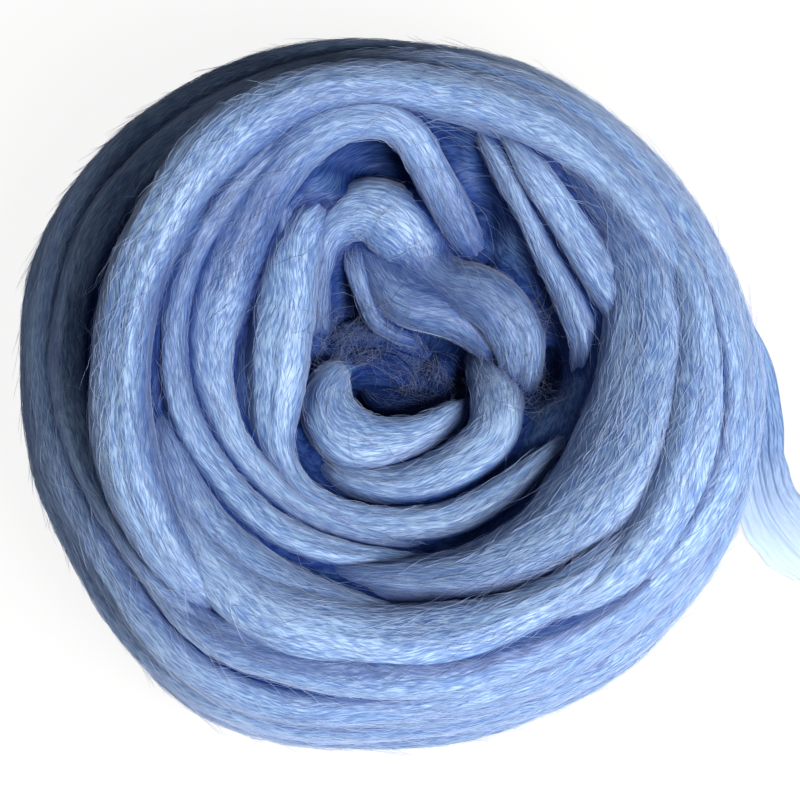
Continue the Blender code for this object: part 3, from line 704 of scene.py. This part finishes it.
woolLook = {
    "shadow": (0.066, 0.133, 0.330),  # between the fibres
    "body": (0.122, 0.212, 0.405),
    "lit": (0.280, 0.400, 0.575),  # on top of them
    "deep": (0.07, 0.145, 0.36),  # painted shade: the colour the fibres are multiplied towards in the hollows and creases
    "open": 0.39, "buried": 0.68, "shade": 0.88,
    "lockTone": 0.34,
    "roughness": (0.66, 0.50),  # from the shadows to the lit fibres
    "bump": 0.24, "bumpDepth": 0.0006,
    "anisotropic": 0.6,
    "sockets": {"IOR": 1.55, "Specular IOR Level": 0.4, "Sheen Weight": 0.35, "Sheen Roughness": 0.45,
                "Sheen Tint": (0.75, 0.85, 1.0, 1)},
}


def principledOf(material):
    material.use_nodes = True
    return material.node_tree, material.node_tree.nodes["Principled BSDF"]


def rampOf(tree, share, ends, colours):
    ramp = addNode(tree, "ValToRGB", {0: share})
    stops = ramp.color_ramp.elements
    for stop, position, colour in zip(stops, ends, (colours[0], colours[-1])):
        stop.position, stop.color = position, (*colour, 1)
    for colour in colours[1:-1]:
        stops.new(0.5).color = (*colour, 1)
    return ramp.outputs[0]


# Painted shade: the hollow and painted-shade marks multiply the colour towards the look's deep colour.
def shadedBy(tree, colour, look):
    shade = addNode(tree, "Group", node_tree=hollowShade)
    giveSockets(tree, shade, {"Open": look["open"], "Buried": look["buried"], "Strength": look["shade"]})
    return mixed(tree, shade.outputs["ShadeShare"], colour, look["deep"], blend_type="MULTIPLY")


# Painted light: the torn tip of the loose end lets light through, so its colour pales towards its tip.
def palerTip(tree, colour, look):
    place = addNode(tree, "SeparateXYZ", {0: addNode(tree, "TexCoord").outputs["Object"]}).outputs[1]
    share = addNode(tree, "MapRange", {"Value": place, "From Min": look["tipSpan"][0],
                                       "From Max": look["tipSpan"][1]}).outputs[0]
    return mixed(tree, share, colour, look["tip"])


# Combed wool on a strand: streaks set the colour from shadow to lit, the roughness and the bump; painted
# shade from the hollow and painted-shade marks darkens the colour.
def combedWool(name, look, fineWidth, crimp=1.0, place="lay"):
    material = bpy.data.materials.new(name)
    tree, shader = principledOf(material)
    calc = partial(maths, tree)
    if place == "lay":
        metres = addNode(tree, "SeparateXYZ", {0: addNode(tree, "UVMap", uv_map=place).outputs[0]}).outputs
        laid = addNode(tree, "CombineXYZ", {0: calc("MULTIPLY", metres[0], 1000.0),
                                            2: calc("MULTIPLY", metres[1], 1000.0)}).outputs[0]
        tangent = addNode(tree, "Tangent", direction_type="UV_MAP", uv_map=place).outputs[0]
        giveSockets(tree, shader, {"Tangent": tangent, "Anisotropic": look["anisotropic"]})
    else:
        laid = addNode(tree, "Attribute", attribute_name=place).outputs["Vector"]
    streaks = addNode(tree, "Group", node_tree=fibres)
    giveSockets(tree, streaks, {"Lay": laid, "Fine Width": fineWidth, "Crimp": crimp})
    streak, lock, height = streaks.outputs
    tone = calc("MULTIPLY_ADD", calc("SUBTRACT", lock, 0.5), look["lockTone"], streak)
    colour = rampOf(tree, tone, (0.05, 0.95), (look["shadow"], look["body"], look["lit"]))
    colour = shadedBy(tree, colour, look)
    if "tip" in look:
        colour = palerTip(tree, colour, look)
    rough = addNode(tree, "MapRange", {"Value": streak, "To Min": look["roughness"][0],
                                       "To Max": look["roughness"][1]}).outputs[0]
    bump = addNode(tree, "Bump", {"Strength": look["bump"], "Distance": look["bumpDepth"],
                                  "Height": height}).outputs[0]
    giveSockets(tree, shader, {"Base Color": colour, "Roughness": rough, "Normal": bump, **look["sockets"]})
    return material


# deep is the colour the hairs are multiplied towards as painted shade in the hollows.
hairLook = {"dark": (0.17, 0.26, 0.50), "pale": (0.42, 0.53, 0.76), "deep": (0.12, 0.20, 0.38), "open": 0.42,
            "buried": 0.74, "shade": 0.8, "sockets": {"Roughness": 0.45, "Sheen Weight": 0.25}}


# Single hairs: each has its own tone between a dark and a pale colour, darkened by painted shade in the
# hollows and where it lies on shaded strands.
def hairWool(name, look):
    material = bpy.data.materials.new(name)
    tree, shader = principledOf(material)
    shade = addNode(tree, "Attribute", attribute_name="shade").outputs["Fac"]
    colour = shadedBy(tree, rampOf(tree, shade, (0.0, 1.0), (look["dark"], look["pale"])), look)
    giveSockets(tree, shader, {"Base Color": colour, **look["sockets"]})
    return material


# A darker copy of the wool look without sheen, as painted shade: for the pit curls, the turns underneath and
# the skin in the creases.
shadowedLook = dict(woolLook, shadow=(0.028, 0.066, 0.18), body=(0.056, 0.12, 0.275), lit=(0.13, 0.21, 0.39),
                sockets={**woolLook["sockets"], "Specular IOR Level": 0.1, "Sheen Weight": 0.0})
frayedLook = dict(woolLook, shadow=(0.05, 0.105, 0.26), body=(0.078, 0.15, 0.32), lit=(0.15, 0.245, 0.44),
                  tip=(0.40, 0.50, 0.66), tipSpan=(-0.012, -0.060))  # metres along Y
combed = combedWool("combedWool", woolLook, 0.42)
shadowedWool = combedWool("shadowedWool", shadowedLook, 0.5)
skinWool = combedWool("skinWool", shadowedLook, 0.45, place="coilPlace")
frayed = combedWool("frayedWool", frayedLook, 0.5, 1.3)
hairs = hairWool("woolHairs", hairLook)
print("materials made")

strands = {}


def layStrand(name, path, seed, material=combed, step=None, sides=None, depth=1.0):
    grid, even, around = strandGrid(path, seed, step, sides, depth)
    strands[name] = {
        "name": name, "grid": grid, "even": even, "around": around, "seed": seed, "material": material,
        "halfWidth": np.interp(even, lengthsOf(path[0]), path[2]), "coiled": name in coilStrands,
        "shade": readAlong(shadedAlong.get(name, (0, 0, 0)), np.linspace(0, 1, len(even)))}


for seed, (name, strand) in enumerate(coilStrands.items()):
    layStrand(name, coilPath(strand), 11 + seed)
for seed, (name, curl) in enumerate(wellCurls.items()):
    layStrand(name, curlPath(curl), 41 + seed, shadowedWool if name.startswith("pit") else combed, depth=0.8)
layStrand("outerWall", wallPath(), 71, sides=outerWall["sides"])
layStrand("underTurns", underPath(), 81, shadowedWool, step=underWind["step"], sides=underWind["sides"])


# Where a point lies on the coil, in millimetres: a circle round it and the way along its section.
def coilPlaces(points):
    radius = np.hypot(points[:, 0], points[:, 1])
    outward = points[:, :2] / np.maximum(radius, 1e-6)[:, None]
    slope = points[:, 2] - np.interp(radius, section[0][:300], section[1][:300])
    return np.column_stack([outward * nestForm["roundWithin"], radius + 0.8 * slope])


fusedSkin = {"cell": 2.1, "smoothing": 12, "drawnIn": 1.8}


# The skin in the creases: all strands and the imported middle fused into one, smoothed so that it
# fills the creases and sinks below the strands' tops.
def makeSkin():
    parts = [tubeArrays(*middleGrid())]
    parts += [tubeArrays(strand["grid"], strand["even"], strand["around"]) for strand in strands.values()]
    firsts = summed([len(part[0]) for part in parts])
    points = np.concatenate([part[0] for part in parts])
    quads, triangles = (np.concatenate([part[kind] + first for part, first in zip(parts, firsts)])
                        for kind in (1, 2))
    joined = makePiece("joined", (points, quads, triangles, {}), skinWool)
    remesh = joined.modifiers.new("fuse", "REMESH")
    remesh.mode = "VOXEL"
    remesh.voxel_size = fusedSkin["cell"] * mm
    smooth = joined.modifiers.new("smooth", "SMOOTH")
    smooth.iterations = fusedSkin["smoothing"]
    smooth.factor = 0.5
    fused = bpy.data.meshes.new_from_object(joined.evaluated_get(bpy.context.evaluated_depsgraph_get()))
    places = pointsOf(fused, "co") - pointsOf(fused, "normal") * fusedSkin["drawnIn"] * mm
    places[:, 2] = np.maximum(places[:, 2], 0.0)
    fused.vertices.foreach_set("co", places.ravel())
    joined.modifiers.clear()
    joined.data = fused
    joined.name = fused.name = "fusedSkin"
    fused.shade_smooth()
    markPoints(joined, "coilPlace", coilPlaces(places / mm), "FLOAT_VECTOR")
    print("skin made", len(fused.polygons))
    return joined


skin = makeSkin()
skinCorners = pointsOf(skin.data, "co") / mm
skinFaces = np.empty(len(skin.data.loops), np.int32)
skin.data.loops.foreach_get("vertex_index", skinFaces)
skinFaces = skinFaces.reshape(-1, 4)
skinTree = BVHTree.FromPolygons(skinCorners.tolist(), skinFaces.tolist())

# How a strand meets the skin: its ends sink into it, and both get painted shade where they touch. Rows of
# painted shade on the strands' sides are for bearings all round, every 30 degrees.
meeting = {
    "fade": 2.1,  # the ends' length in half widths
    "shortest": 5.0,
    "sunk": 0.9,
    "paintedShade": (-0.4, 2.2),  # heights above the skin, from full shade to none
    "skinPaintedShade": (6.5, 1.0),
    "alongPower": 1.5,
    "sideFrom": 0.5,
    "curlShade": 0.6,
    "sideShade": (0.3, 0.5, 0.6, 0.6, 0.6, 0.6, 0.6, 0.5, 0.3, 0.15, 0.1, 0.1),
    "flankFrom": 0.2,
    "flankFade": 0.75,
    "flankShade": (0.6, 0.65, 0.6, 0.5, 0.55, 0.9, 1.0, 0.85, 0.65, 0.7, 0.8, 0.75),
    "flankShare": {"eastShoulder": 0.5, "southShoulder": 1.2, "wellSouthWest": 0.4, "innerTurn": 0.5,
                   "eastRim": 0.5},
    "flankReach": {"southShoulder": 1.0, "eastShoulder": 0.2, "southWestRim": 0.7},
}


# Nearest places on a surface: the distances out from it, its normals there and its faces.
def fromSurface(tree, points):
    heights, outwards, faces = np.zeros(len(points)), np.zeros((len(points), 3)), np.zeros(len(points), int)
    for index, point in enumerate(points.tolist()):
        place, normal, face, distance = tree.find_nearest(point)
        outwards[index] = normal
        faces[index] = face
        heights[index] = distance if (Vector(point) - place).dot(normal) > 0 else -distance
    return heights, outwards, faces


# Painted shade on a strand's sides where they fall away into the creases; the side facing the well gets
# more, by the bearing. Across holds -1 at the inner side of a coiled strand and 1 at its outer side.
def sideShade(strand):
    grid = strand["grid"]
    middle = grid.mean(axis=1)
    ahead = unitOf(np.gradient(middle, axis=0))
    sideways = unitOf(np.stack([ahead[:, 1], -ahead[:, 0]], axis=-1))
    across = ((grid[:, :, :2] - middle[:, None, :2]) * sideways[:, None, :]).sum(axis=2)
    across = across / strand["halfWidth"][:, None]
    both = eased(np.clip((np.abs(across) - meeting["sideFrom"]) / (1 - meeting["sideFrom"]), 0, 1))
    if not strand["coiled"]:
        return meeting["curlShade"] * both
    reach = meeting["flankReach"].get(strand["name"], 0.0) - meeting["flankFrom"]
    inner = eased(np.clip((reach - across) / meeting["flankFade"], 0, 1))
    bearing = np.degrees(np.arctan2(middle[:, 1], middle[:, 0]))
    outside, inside = (np.clip(readRound(meeting[ring], bearing), 0, 1)[:, None]
                       for ring in ("sideShade", "flankShade"))
    flank = inner * inside * meeting["flankShare"].get(strand["name"], 1.0)
    return np.clip(np.maximum(both * outside, flank), 0, 1)


# Each ring near an end is moved in along the skin's normals, until its tip lies under the skin.
def meetSkin(strand):
    grid, even = strand["grid"], strand["even"]
    fade = np.maximum(meeting["fade"] * strand["halfWidth"], meeting["shortest"])
    kept = eased(np.clip(np.minimum(even, even[-1] - even) / fade, 0, 1))
    heights, outwards, _ = fromSurface(skinTree, grid.reshape(-1, 3))
    heights, outwards = heights.reshape(grid.shape[:2]), outwards.reshape(grid.shape)
    sunk = -meeting["sunk"]
    target = np.where(heights > sunk, sunk + (heights - sunk) * kept[:, None], heights)
    grid += outwards * (target - heights)[:, :, None]
    grid[:, :, 2] = np.maximum(grid[:, :, 2], 0.0)
    # Painted shade: darker the closer the strand lies above the skin, with the painted shade of its sides and
    # along its length.
    low, high = meeting["paintedShade"]
    paintedShade = (1 - np.clip((target - low) / (high - low), 0, 1)) * kept[:, None]
    shade = np.maximum(paintedShade, sideShade(strand) * kept[:, None])
    along = np.clip(strand["shade"], 0, 1)[:, None] ** meeting["alongPower"]
    strand["paintedShade"], strand["kept"] = shade + (1 - shade) * along, kept
    strand["surface"] = tubeArrays(grid, even, strand["around"])


for strand in strands.values():
    meetSkin(strand)
print("ends sunk")


# A strand's values for each face of the tree: both halves of its quads, and nought for its fans.
def faceValues(name):
    spread = []
    for strand in strands.values():
        rows, cols = strand["grid"].shape[:2]
        quads = np.broadcast_to(strand[name].reshape(rows, -1)[:-1], (rows - 1, cols)).ravel()
        spread += [quads, quads, np.zeros(2 * cols)]
    return np.concatenate(spread)


surfaces = [strand["surface"] for strand in strands.values()]
firsts = summed([len(surface[0]) for surface in surfaces])
corners = np.concatenate([surface[0] for surface in surfaces])
faces = np.concatenate([np.concatenate([quads[:, :3], quads[:, [0, 2, 3]], triangles]) + first
                        for (_, quads, triangles, _), first in zip(surfaces, firsts)])
strandTree = BVHTree.FromPolygons(corners.tolist(), faces.tolist())
paintedShadeFaces = faceValues("paintedShade")
# Painted shade on the skin near the strands' surfaces.
heights, _, nearest = fromSurface(strandTree, skinCorners)
far, near = meeting["skinPaintedShade"]
skinPaintedShade = np.clip((far - np.abs(heights)) / (far - near), 0, 1) * faceValues("kept")[nearest]
tree = BVHTree.FromPolygons(np.concatenate([corners, skinCorners]).tolist(),
                            faces.tolist() + (skinFaces + len(corners)).tolist())
print("trees made")

cells = woolCells(np.concatenate([skinCorners] + [s["grid"].reshape(-1, 3) for s in strands.values()]))
markPoints(skin, "paintedShade", skinPaintedShade)
markHollowShade(skin, cells)
for name, strand in strands.items():
    maps = strand["surface"][3]
    maps["lay"] = maps["lay"] + [0.37 * strand["seed"], 0.11 * strand["seed"]]  # no two strands look alike
    piece = makePiece(name, strand["surface"], strand["material"])
    markPoints(piece, "paintedShade", np.concatenate([strand["paintedShade"].ravel(), [0, 0]]))
    markHollowShade(piece, cells)
print("strands made", len(strands))

looseSurface = looseGrid()
looseSheet = makePiece("looseEnd", tubeArrays(*looseSurface), frayed, "loose_end")
markHollowShade(looseSheet, cells)


# Thin closed spindles with three sides: along each line a triangle square to it, thinning to a
# point at both ends. Lines are an array of hairs by points by xyz.
def spindleArrays(lines, normals, widths):
    count, size = lines.shape[:2]
    ahead = unitOf(np.gradient(lines, axis=1))
    side = unitOf(np.cross(normals, ahead))
    up = np.cross(ahead, side)
    taper = np.sin(np.pi * np.linspace(0, 1, size)[1:-1]) ** 0.5
    turns = np.radians([90.0, 210.0, 330.0])[:, None]
    spread = np.cos(turns) * side[:, 1:-1, None, :] + np.sin(turns) * up[:, 1:-1, None, :]
    rings = lines[:, 1:-1, None, :] + spread * (0.5 * widths[:, None] * taper)[:, :, None, None]
    each = 3 * (size - 2) + 2
    points = np.concatenate([rings.reshape(count, -1, 3), lines[:, :1], lines[:, -1:]], axis=1)
    first = (np.arange(count) * each)[:, None, None]
    quads, fans = ((faces[None] + first).reshape(-1, faces.shape[1]) for faces in tubeFaces(size - 2, 3)[2:])
    return points.reshape(-1, 3), quads, fans


# Each hair has its own narrow cell in the bake map, laid out in columns.
def hairCells(count, size, quads, triangles, columns=12):
    rows = -(-count // columns)
    hair = np.arange(count)
    left, low = (hair // rows) / columns, (hair % rows) / rows
    station = np.concatenate([np.repeat(np.arange(1, size - 1), 3), [0, size - 1]]) / (size - 1)
    height = np.concatenate([np.tile([0.1, 0.5, 0.9], size - 2), [0.5, 0.5]])
    u = left[:, None] + (0.02 + 0.96 * station[None]) / columns
    v = low[:, None] + height[None] / rows
    places = np.stack([u, v], axis=-1).reshape(-1, 2)
    return {"OFBake": np.concatenate([places[quads].reshape(-1, 2), places[triangles].reshape(-1, 2)])}


def makeHairs(name, lines, normals, look, random, material):
    count, size = lines.shape[:2]
    widths = random.uniform(*look["width"], count)
    shades = np.clip(random.normal(*look["shades"], count), 0, 1)
    points, quads, triangles = spindleArrays(lines, normals, widths)
    points[:, 2] = np.maximum(points[:, 2], 0.05)
    maps = hairCells(count, size, quads, triangles)
    piece = makePiece(name, (points, quads, triangles, maps), material)
    middle = lines[:, size // 2]
    # A hair takes painted shade from the hollows and from the strand under it.
    hollowShades = hollowShadeAt(cells, middle, normals[:, size // 2])
    below = paintedShadeFaces[fromSurface(strandTree, middle)[2]] * hollows["shadeBelow"]
    for mark, values in (("shade", shades), ("depth", hollowShades), ("paintedShade", below)):
        markPoints(piece, mark, np.repeat(values, len(points) // count))
    print("hairs", name, count, "of", size, "points")


def gridNormals(grid):
    roundStep = np.roll(grid, -1, axis=1) - np.roll(grid, 1, axis=1)
    return unitOf(np.cross(roundStep, np.gradient(grid, axis=0)))


# Reads a field on a strand's grid between its points, going round without a seam.
def sampleGrid(field, row, col):
    rows, cols = field.shape[:2]
    row = np.clip(row, 0, rows - 1.001)
    i = row.astype(int)
    j = np.floor(col).astype(int)
    f, g = (row - i)[..., None], (col - j)[..., None]
    j, after = j % cols, (j + 1) % cols
    near = field[i, j] * (1 - g) + field[i, after] * g
    far = field[i + 1, j] * (1 - g) + field[i + 1, after] * g
    return near * (1 - f) + far * f


# Keeps the lines whose middle stands free: the ray outwards from it starts outside every strand.
def standsFree(middles, normals, room):
    kept = np.zeros(len(middles), bool)
    for index, (middle, normal) in enumerate(zip(middles.tolist(), normals.tolist())):
        out = Vector(normal)
        hit, face, _, distance = tree.ray_cast(Vector(middle) + out * 0.5, out, 60.0)
        kept[index] = hit is None or (face.dot(out) < 0 and distance > room)
    return kept


# A hair's height bridges hollows as a taut hair does: each point rises to its neighbours' mean.
def bridged(height):
    for _ in range(3):
        beside = height.copy()
        beside[:, 1:-1] = 0.5 * (height[:, :-2] + height[:, 2:])
        height = np.maximum(height, beside)
    return height


silkFibres = {
    "perSquareCm": 8.2,  # on the outer side of every strand
    "outerShare": 0.62,  # of the way round a strand
    "together": 2,  # hairs in a wisp
    "apart": (5.0, 0.55, 0.2),  # their spread lengthwise and round the strand, and of their drift round it
    "band": (0.17, 0.83),  # shares of the way round
    "length": (6.0, 18.0),
    "lengthShare": (0.75, 1.2),  # of a wisp's own length
    "width": (0.09, 0.16),
    "shades": (0.5, 0.25),  # mean and spread
    "lift": (0.1, 0.9),
    "sunk": 0.25,  # of the ends
    "crimp": 0.30,
    "crimpEvery": (5, 13),
    "room": 1.2,
    "points": 6,
    "pieceHairs": 6000,
}


# A wisp's hairs follow the strand's own surface, a little raised in the middle and sunk at the
# ends, drifting slowly round it and waving by a sine.
def silkLines(strand, random):
    look = silkFibres
    grid, even, around = strand["grid"], strand["even"], strand["around"]
    rows, cols = grid.shape[:2]
    area = even[-1] * around[-1] * look["outerShare"] / 100.0
    wisps = max(4, int(area * look["perSquareCm"] / look["together"]))
    count = wisps * look["together"]
    t = np.linspace(0, 1, look["points"])
    perCol = around[-1] / cols
    lengthwise, roundwise, turning = look["apart"]

    def shared(values):  # by a wisp's hairs
        return np.repeat(values, look["together"])

    start = shared(random.uniform(0, even[-1], wisps)) + random.normal(0, lengthwise, count)
    place = shared(random.uniform(*look["band"], wisps)) * cols
    place += random.normal(0, roundwise, count) / perCol
    size = shared(random.uniform(*look["length"], wisps)) * random.uniform(*look["lengthShare"], count)
    drift = shared(random.normal(0, turning, wisps)) + random.normal(0, turning, count)
    at = start[:, None] + size[:, None] * (t - 0.5)
    row = np.interp(at, even, np.arange(rows))
    wave = 2 * np.pi * (at / random.uniform(*look["crimpEvery"], count)[:, None])
    wave = look["crimp"] * np.sin(wave + random.uniform(0, 6.28, count)[:, None])
    col = place[:, None] + (drift[:, None] * size[:, None] * (t - 0.5) + wave) / perCol
    lift = random.uniform(*look["lift"], count)
    height = (lift[:, None] + look["sunk"]) * np.sin(np.pi * t) ** 0.6 - look["sunk"]
    normals = sampleGrid(gridNormals(grid), row, col)
    lines = sampleGrid(grid, row, col) + normals * height[:, :, None]
    inside = (at[:, 0] > 0.5) & (at[:, -1] < even[-1] - 0.5)
    lines, normals = lines[inside], normals[inside]
    middle = look["points"] // 2
    free = standsFree(lines[:, middle], normals[:, middle], look["room"])
    return lines[free], normals[free]


overHairs = {
    "count": 4200,
    "length": (9.0, 30.0),
    "width": (0.10, 0.18),
    "shades": (0.6, 0.25),
    "slope": 0.35,  # how far they stray across the strands, over their length
    "bow": 0.07,
    "jitter": 0.22,
    "points": 9,
    "from": 20.0,  # along the section
    "short": 8.0,  # of the section's end
    "widest": 142,
    "fewWithin": 84.0,  # nearer the middle the strands turn out of the round, and few hairs cross them
    "few": 0.22,
    "above": 22.0,  # from this height the hairs are dropped on the strands
    "lift": (0.1, 0.7),
    "sunk": 0.4,  # of the ends
    "deepest": -18,  # from the coil's own surface
    "freeEnds": 0.3,  # share whose end stands off
    "standOff": (0.6, 4.2),
}


# Stray hairs lie over the whole coil: the line runs round it with a slight slope, every point is
# dropped on the strands below, and hollows are bridged.
def overLines(random):
    look, count = overHairs, overHairs["count"]
    t = np.linspace(0, 1, look["points"])
    along = random.uniform(look["from"], section[2][-1] - look["short"], count * 3)
    radius = np.interp(along, section[2], section[0])
    kept = random.uniform(0, look["widest"], len(along)) < radius
    kept &= (radius > look["fewWithin"]) | (random.uniform(0, 1, len(along)) < look["few"])
    along, radius = along[kept][:count], radius[kept][:count]
    count = len(along)
    size = random.uniform(*look["length"], count)
    bearing = random.uniform(0, 360, count)
    bow = random.normal(0, look["bow"], count)[:, None] * size[:, None] * np.sin(np.pi * t)
    across = along[:, None] + (random.normal(0, look["slope"], count) * size)[:, None] * (t - 0.5) + bow
    across += random.normal(0, look["jitter"], (count, look["points"]))
    turn = bearing[:, None] + np.degrees(size / np.maximum(radius, 12.0))[:, None] * (t - 0.5)
    across = np.clip(across, 4.0, section[2][-1] - 4.0)
    points, normals = onCoil(turn.ravel(), across.ravel())
    depth = np.full(len(points), 60.0)
    starts = points + normals * look["above"]
    for index, (start, normal) in enumerate(zip(starts.tolist(), normals.tolist())):
        hit = tree.ray_cast(Vector(start), -Vector(normal), 60.0)
        if hit[0] is not None:
            depth[index] = hit[3]
    height = bridged((look["above"] - depth).reshape(count, -1))
    height += random.uniform(*look["lift"], count)[:, None]
    height[:, [0, -1]] -= look["sunk"]
    free = random.uniform(0, 1, count) < look["freeEnds"]
    height[free] += (random.uniform(*look["standOff"], free.sum())[:, None]) * t ** 2.2
    points, normals = points.reshape(count, -1, 3), normals.reshape(count, -1, 3)
    good = (height > look["deepest"]).all(axis=1)
    return (points + normals * height[:, :, None])[good], normals[good]


tangles = {
    # middle x and y, half sizes along x and y, and number of hairs
    "rows": ((-13, 20, 18, 10, 110), (12, 4, 13, 13, 80), (54, -4, 9, 12, 60), (-29, 14, 9, 8, 35),
             (38, 0, 10, 18, 45), (50, 24, 14, 14, 35), (-8, 62, 14, 10, 25)),
    "spread": (0.5, 1.2),  # about the middle, and at most, in half sizes
    "length": (10.0, 32.0),
    "curl": (5.0, 16.0),  # radius of a hair's bends
    "turnEvery": 6.0,
    "width": (0.08, 0.15),
    "shades": (0.45, 0.28),
    "lift": (0.2, 2.6),
    "lowest": 10,
    "steepest": 4.5,
    "points": 13,
}


# A curled hair's heading turns at a rate that drifts along it; its height follows what lies below.
def tangledLines(random):
    look = tangles
    rows = np.array(look["rows"], float)
    owner = np.repeat(np.arange(len(rows)), rows[:, 4].astype(int))
    count, size = len(owner), look["points"]
    t = np.linspace(0, 1, size)
    about, most = look["spread"]
    spread = np.clip(random.normal(0, about, (count, 2)), -most, most)
    middle = rows[owner, :2] + spread * rows[owner, 2:4]
    length = random.uniform(*look["length"], count)
    step = length / (size - 1)
    bend = random.choice([-1.0, 1.0], count) / random.uniform(*look["curl"], count)
    wave = np.cos(t[None] * (length / look["turnEvery"])[:, None] + random.uniform(0, 6.28, count)[:, None])
    heading = random.uniform(0, 6.28, count)[:, None]
    heading = heading + np.cumsum(bend[:, None] * wave * step[:, None], axis=1)
    flat = np.cumsum(np.stack([np.cos(heading), np.sin(heading)], axis=-1) * step[:, None, None], axis=1)
    flat += middle[:, None, :] - flat.mean(axis=1, keepdims=True)
    ground = np.full(count * size, -99.0)
    for index, (x, y) in enumerate(flat.reshape(-1, 2).tolist()):
        hit = tree.ray_cast(Vector((x, y, 150.0)), Vector((0, 0, -1)), 160.0)
        if hit[0] is not None:
            ground[index] = hit[0].z
    height = bridged(ground.reshape(count, size))
    height = height + random.uniform(*look["lift"], count)[:, None] * (0.25 + np.sin(np.pi * t))
    lines = np.dstack([flat, height])
    normals = np.broadcast_to(np.array([0.0, 0.0, 1.0]), lines.shape).copy()
    gentle = np.abs(np.diff(height, axis=1)).max(axis=1) < look["steepest"] * step
    good = (height > look["lowest"]).all(axis=1) & gentle
    return lines[good], normals[good]


random = np.random.default_rng(101)
laid = [silkLines(strand, random) for name, strand in strands.items() if name != "underTurns"]
lines, normals = (np.concatenate(parts) for parts in zip(*laid))
order = random.permutation(len(lines))
for part, chosen in enumerate(np.array_split(order, max(1, -(-len(order) // silkFibres["pieceHairs"])))):
    makeHairs(f"silkFibres{part + 1}", lines[chosen], normals[chosen], silkFibres, random, hairs)
makeHairs("strayHairs", *overLines(random), overHairs, random, hairs)
# The tangled hairs in the pit take a darker copy of the hair colours, as painted shade.
shadedHairs = hairWool("shadedHairs", {**hairLook, "dark": (0.02, 0.045, 0.12), "pale": (0.19, 0.27, 0.46)})
makeHairs("tangledHairs", *tangledLines(random), tangles, random, shadedHairs)

stageLook = {
    "floorSize": 8.0,
    "floorDrop": 0.0002,
    "floor": (0.985, 0.985, 0.98),  # as the camera sees it
    "bounce": 0.12,  # what it gives back to the wool
    "world": 0.095,
    "lamps": {"key": (55.0, 318.0, 50.0), "fill": (7.0, 212.0, 14.0), "low": (12.0, 308.0, 17.0)},
    "lampDistance": 1.7,  # a lamp's row holds watts, bearing and elevation
    "lampSize": 0.8,
}


# The camera sees one shader, and the scene is lit by the other.
def seenBy(tree, lighting, seen):
    path = addNode(tree, "LightPath").outputs["Is Camera Ray"]
    return addNode(tree, "MixShader", {0: path, 1: lighting.outputs[0], 2: seen.outputs[0]}).outputs[0]


def makeFloor():
    mesh = bpy.data.meshes.new("floor")
    half = stageLook["floorSize"] / 2
    sides = ((-half, -half), (half, -half), (half, half), (-half, half))
    mesh.from_pydata([(x, y, -stageLook["floorDrop"]) for x, y in sides], [], [(0, 1, 2, 3)])
    floor = bpy.data.objects.new("floor", mesh)
    scene.collection.objects.link(floor)
    material = bpy.data.materials.new("paleFloor")
    tree, shader = principledOf(material)
    giveSockets(tree, shader, {"Base Color": (0.8, 0.8, 0.8, 1), "Roughness": 0.9})
    glow = addNode(tree, "Emission", {"Color": (*stageLook["floor"], 1)})
    dim = addNode(tree, "BsdfDiffuse", {"Color": (stageLook["bounce"],) * 3 + (1,)})
    seen = addNode(tree, "MixShader", {0: 0.92, 1: shader.outputs[0], 2: glow.outputs[0]})
    giveSockets(tree, tree.nodes["Material Output"], {0: seenBy(tree, dim, seen)})
    mesh.materials.append(material)


def makeLight():
    world = bpy.data.worlds.new("studio")
    scene.world = world
    world.use_nodes = True
    tree = world.node_tree
    background = tree.nodes["Background"]
    giveSockets(tree, background, {"Color": (0.86, 0.92, 1.0, 1), "Strength": stageLook["world"]})
    pale = addNode(tree, "Background", {"Color": (0.97, 0.97, 0.97, 1)})
    giveSockets(tree, tree.nodes["World Output"], {0: seenBy(tree, background, pale)})
    for name, (watts, *angles) in stageLook["lamps"].items():
        disk = bpy.data.lights.new(name + "Light", "AREA")
        disk.shape = "DISK"
        disk.size = stageLook["lampSize"]
        disk.energy = watts
        lamp = bpy.data.objects.new(name + "Light", disk)
        bearing, elevation = np.radians(angles)
        level = np.cos(elevation)
        toLamp = Vector((level * np.cos(bearing), level * np.sin(bearing), np.sin(elevation)))
        lamp.location = toLamp * stageLook["lampDistance"]
        lamp.rotation_euler = toLamp.to_track_quat("Z", "Y").to_euler()
        scene.collection.objects.link(lamp)


cameraLook = {"lens": 141.4, "sensor": 36.0, "elevation": 78.0, "distance": 1.2,
              "height": 0.035, "right": 0.00115, "down": 0.00195}  # metres, of the point it aims at


def makeCamera():
    look = cameraLook
    lens = bpy.data.cameras.new("camera")
    lens.lens = look["lens"]
    lens.sensor_width = look["sensor"]
    lens.clip_end = 20.0
    lens.dof.use_dof = False
    camera = bpy.data.objects.new("camera", lens)
    tilt = np.radians(look["elevation"])
    back = Vector((0.0, -np.cos(tilt), np.sin(tilt)))
    right = Vector((1.0, 0.0, 0.0))
    up = back.cross(right)
    aim = Vector((0, 0, look["height"])) + right * look["right"] - up * look["down"]
    place = aim + back * look["distance"]
    turn = Matrix((right, up, back)).transposed()
    camera.matrix_world = Matrix.Translation(place) @ turn.to_4x4()
    scene.collection.objects.link(camera)
    scene.camera = camera


makeFloor()
makeLight()
makeCamera()
scene.view_settings.view_transform = "Standard"

print("scene ready")
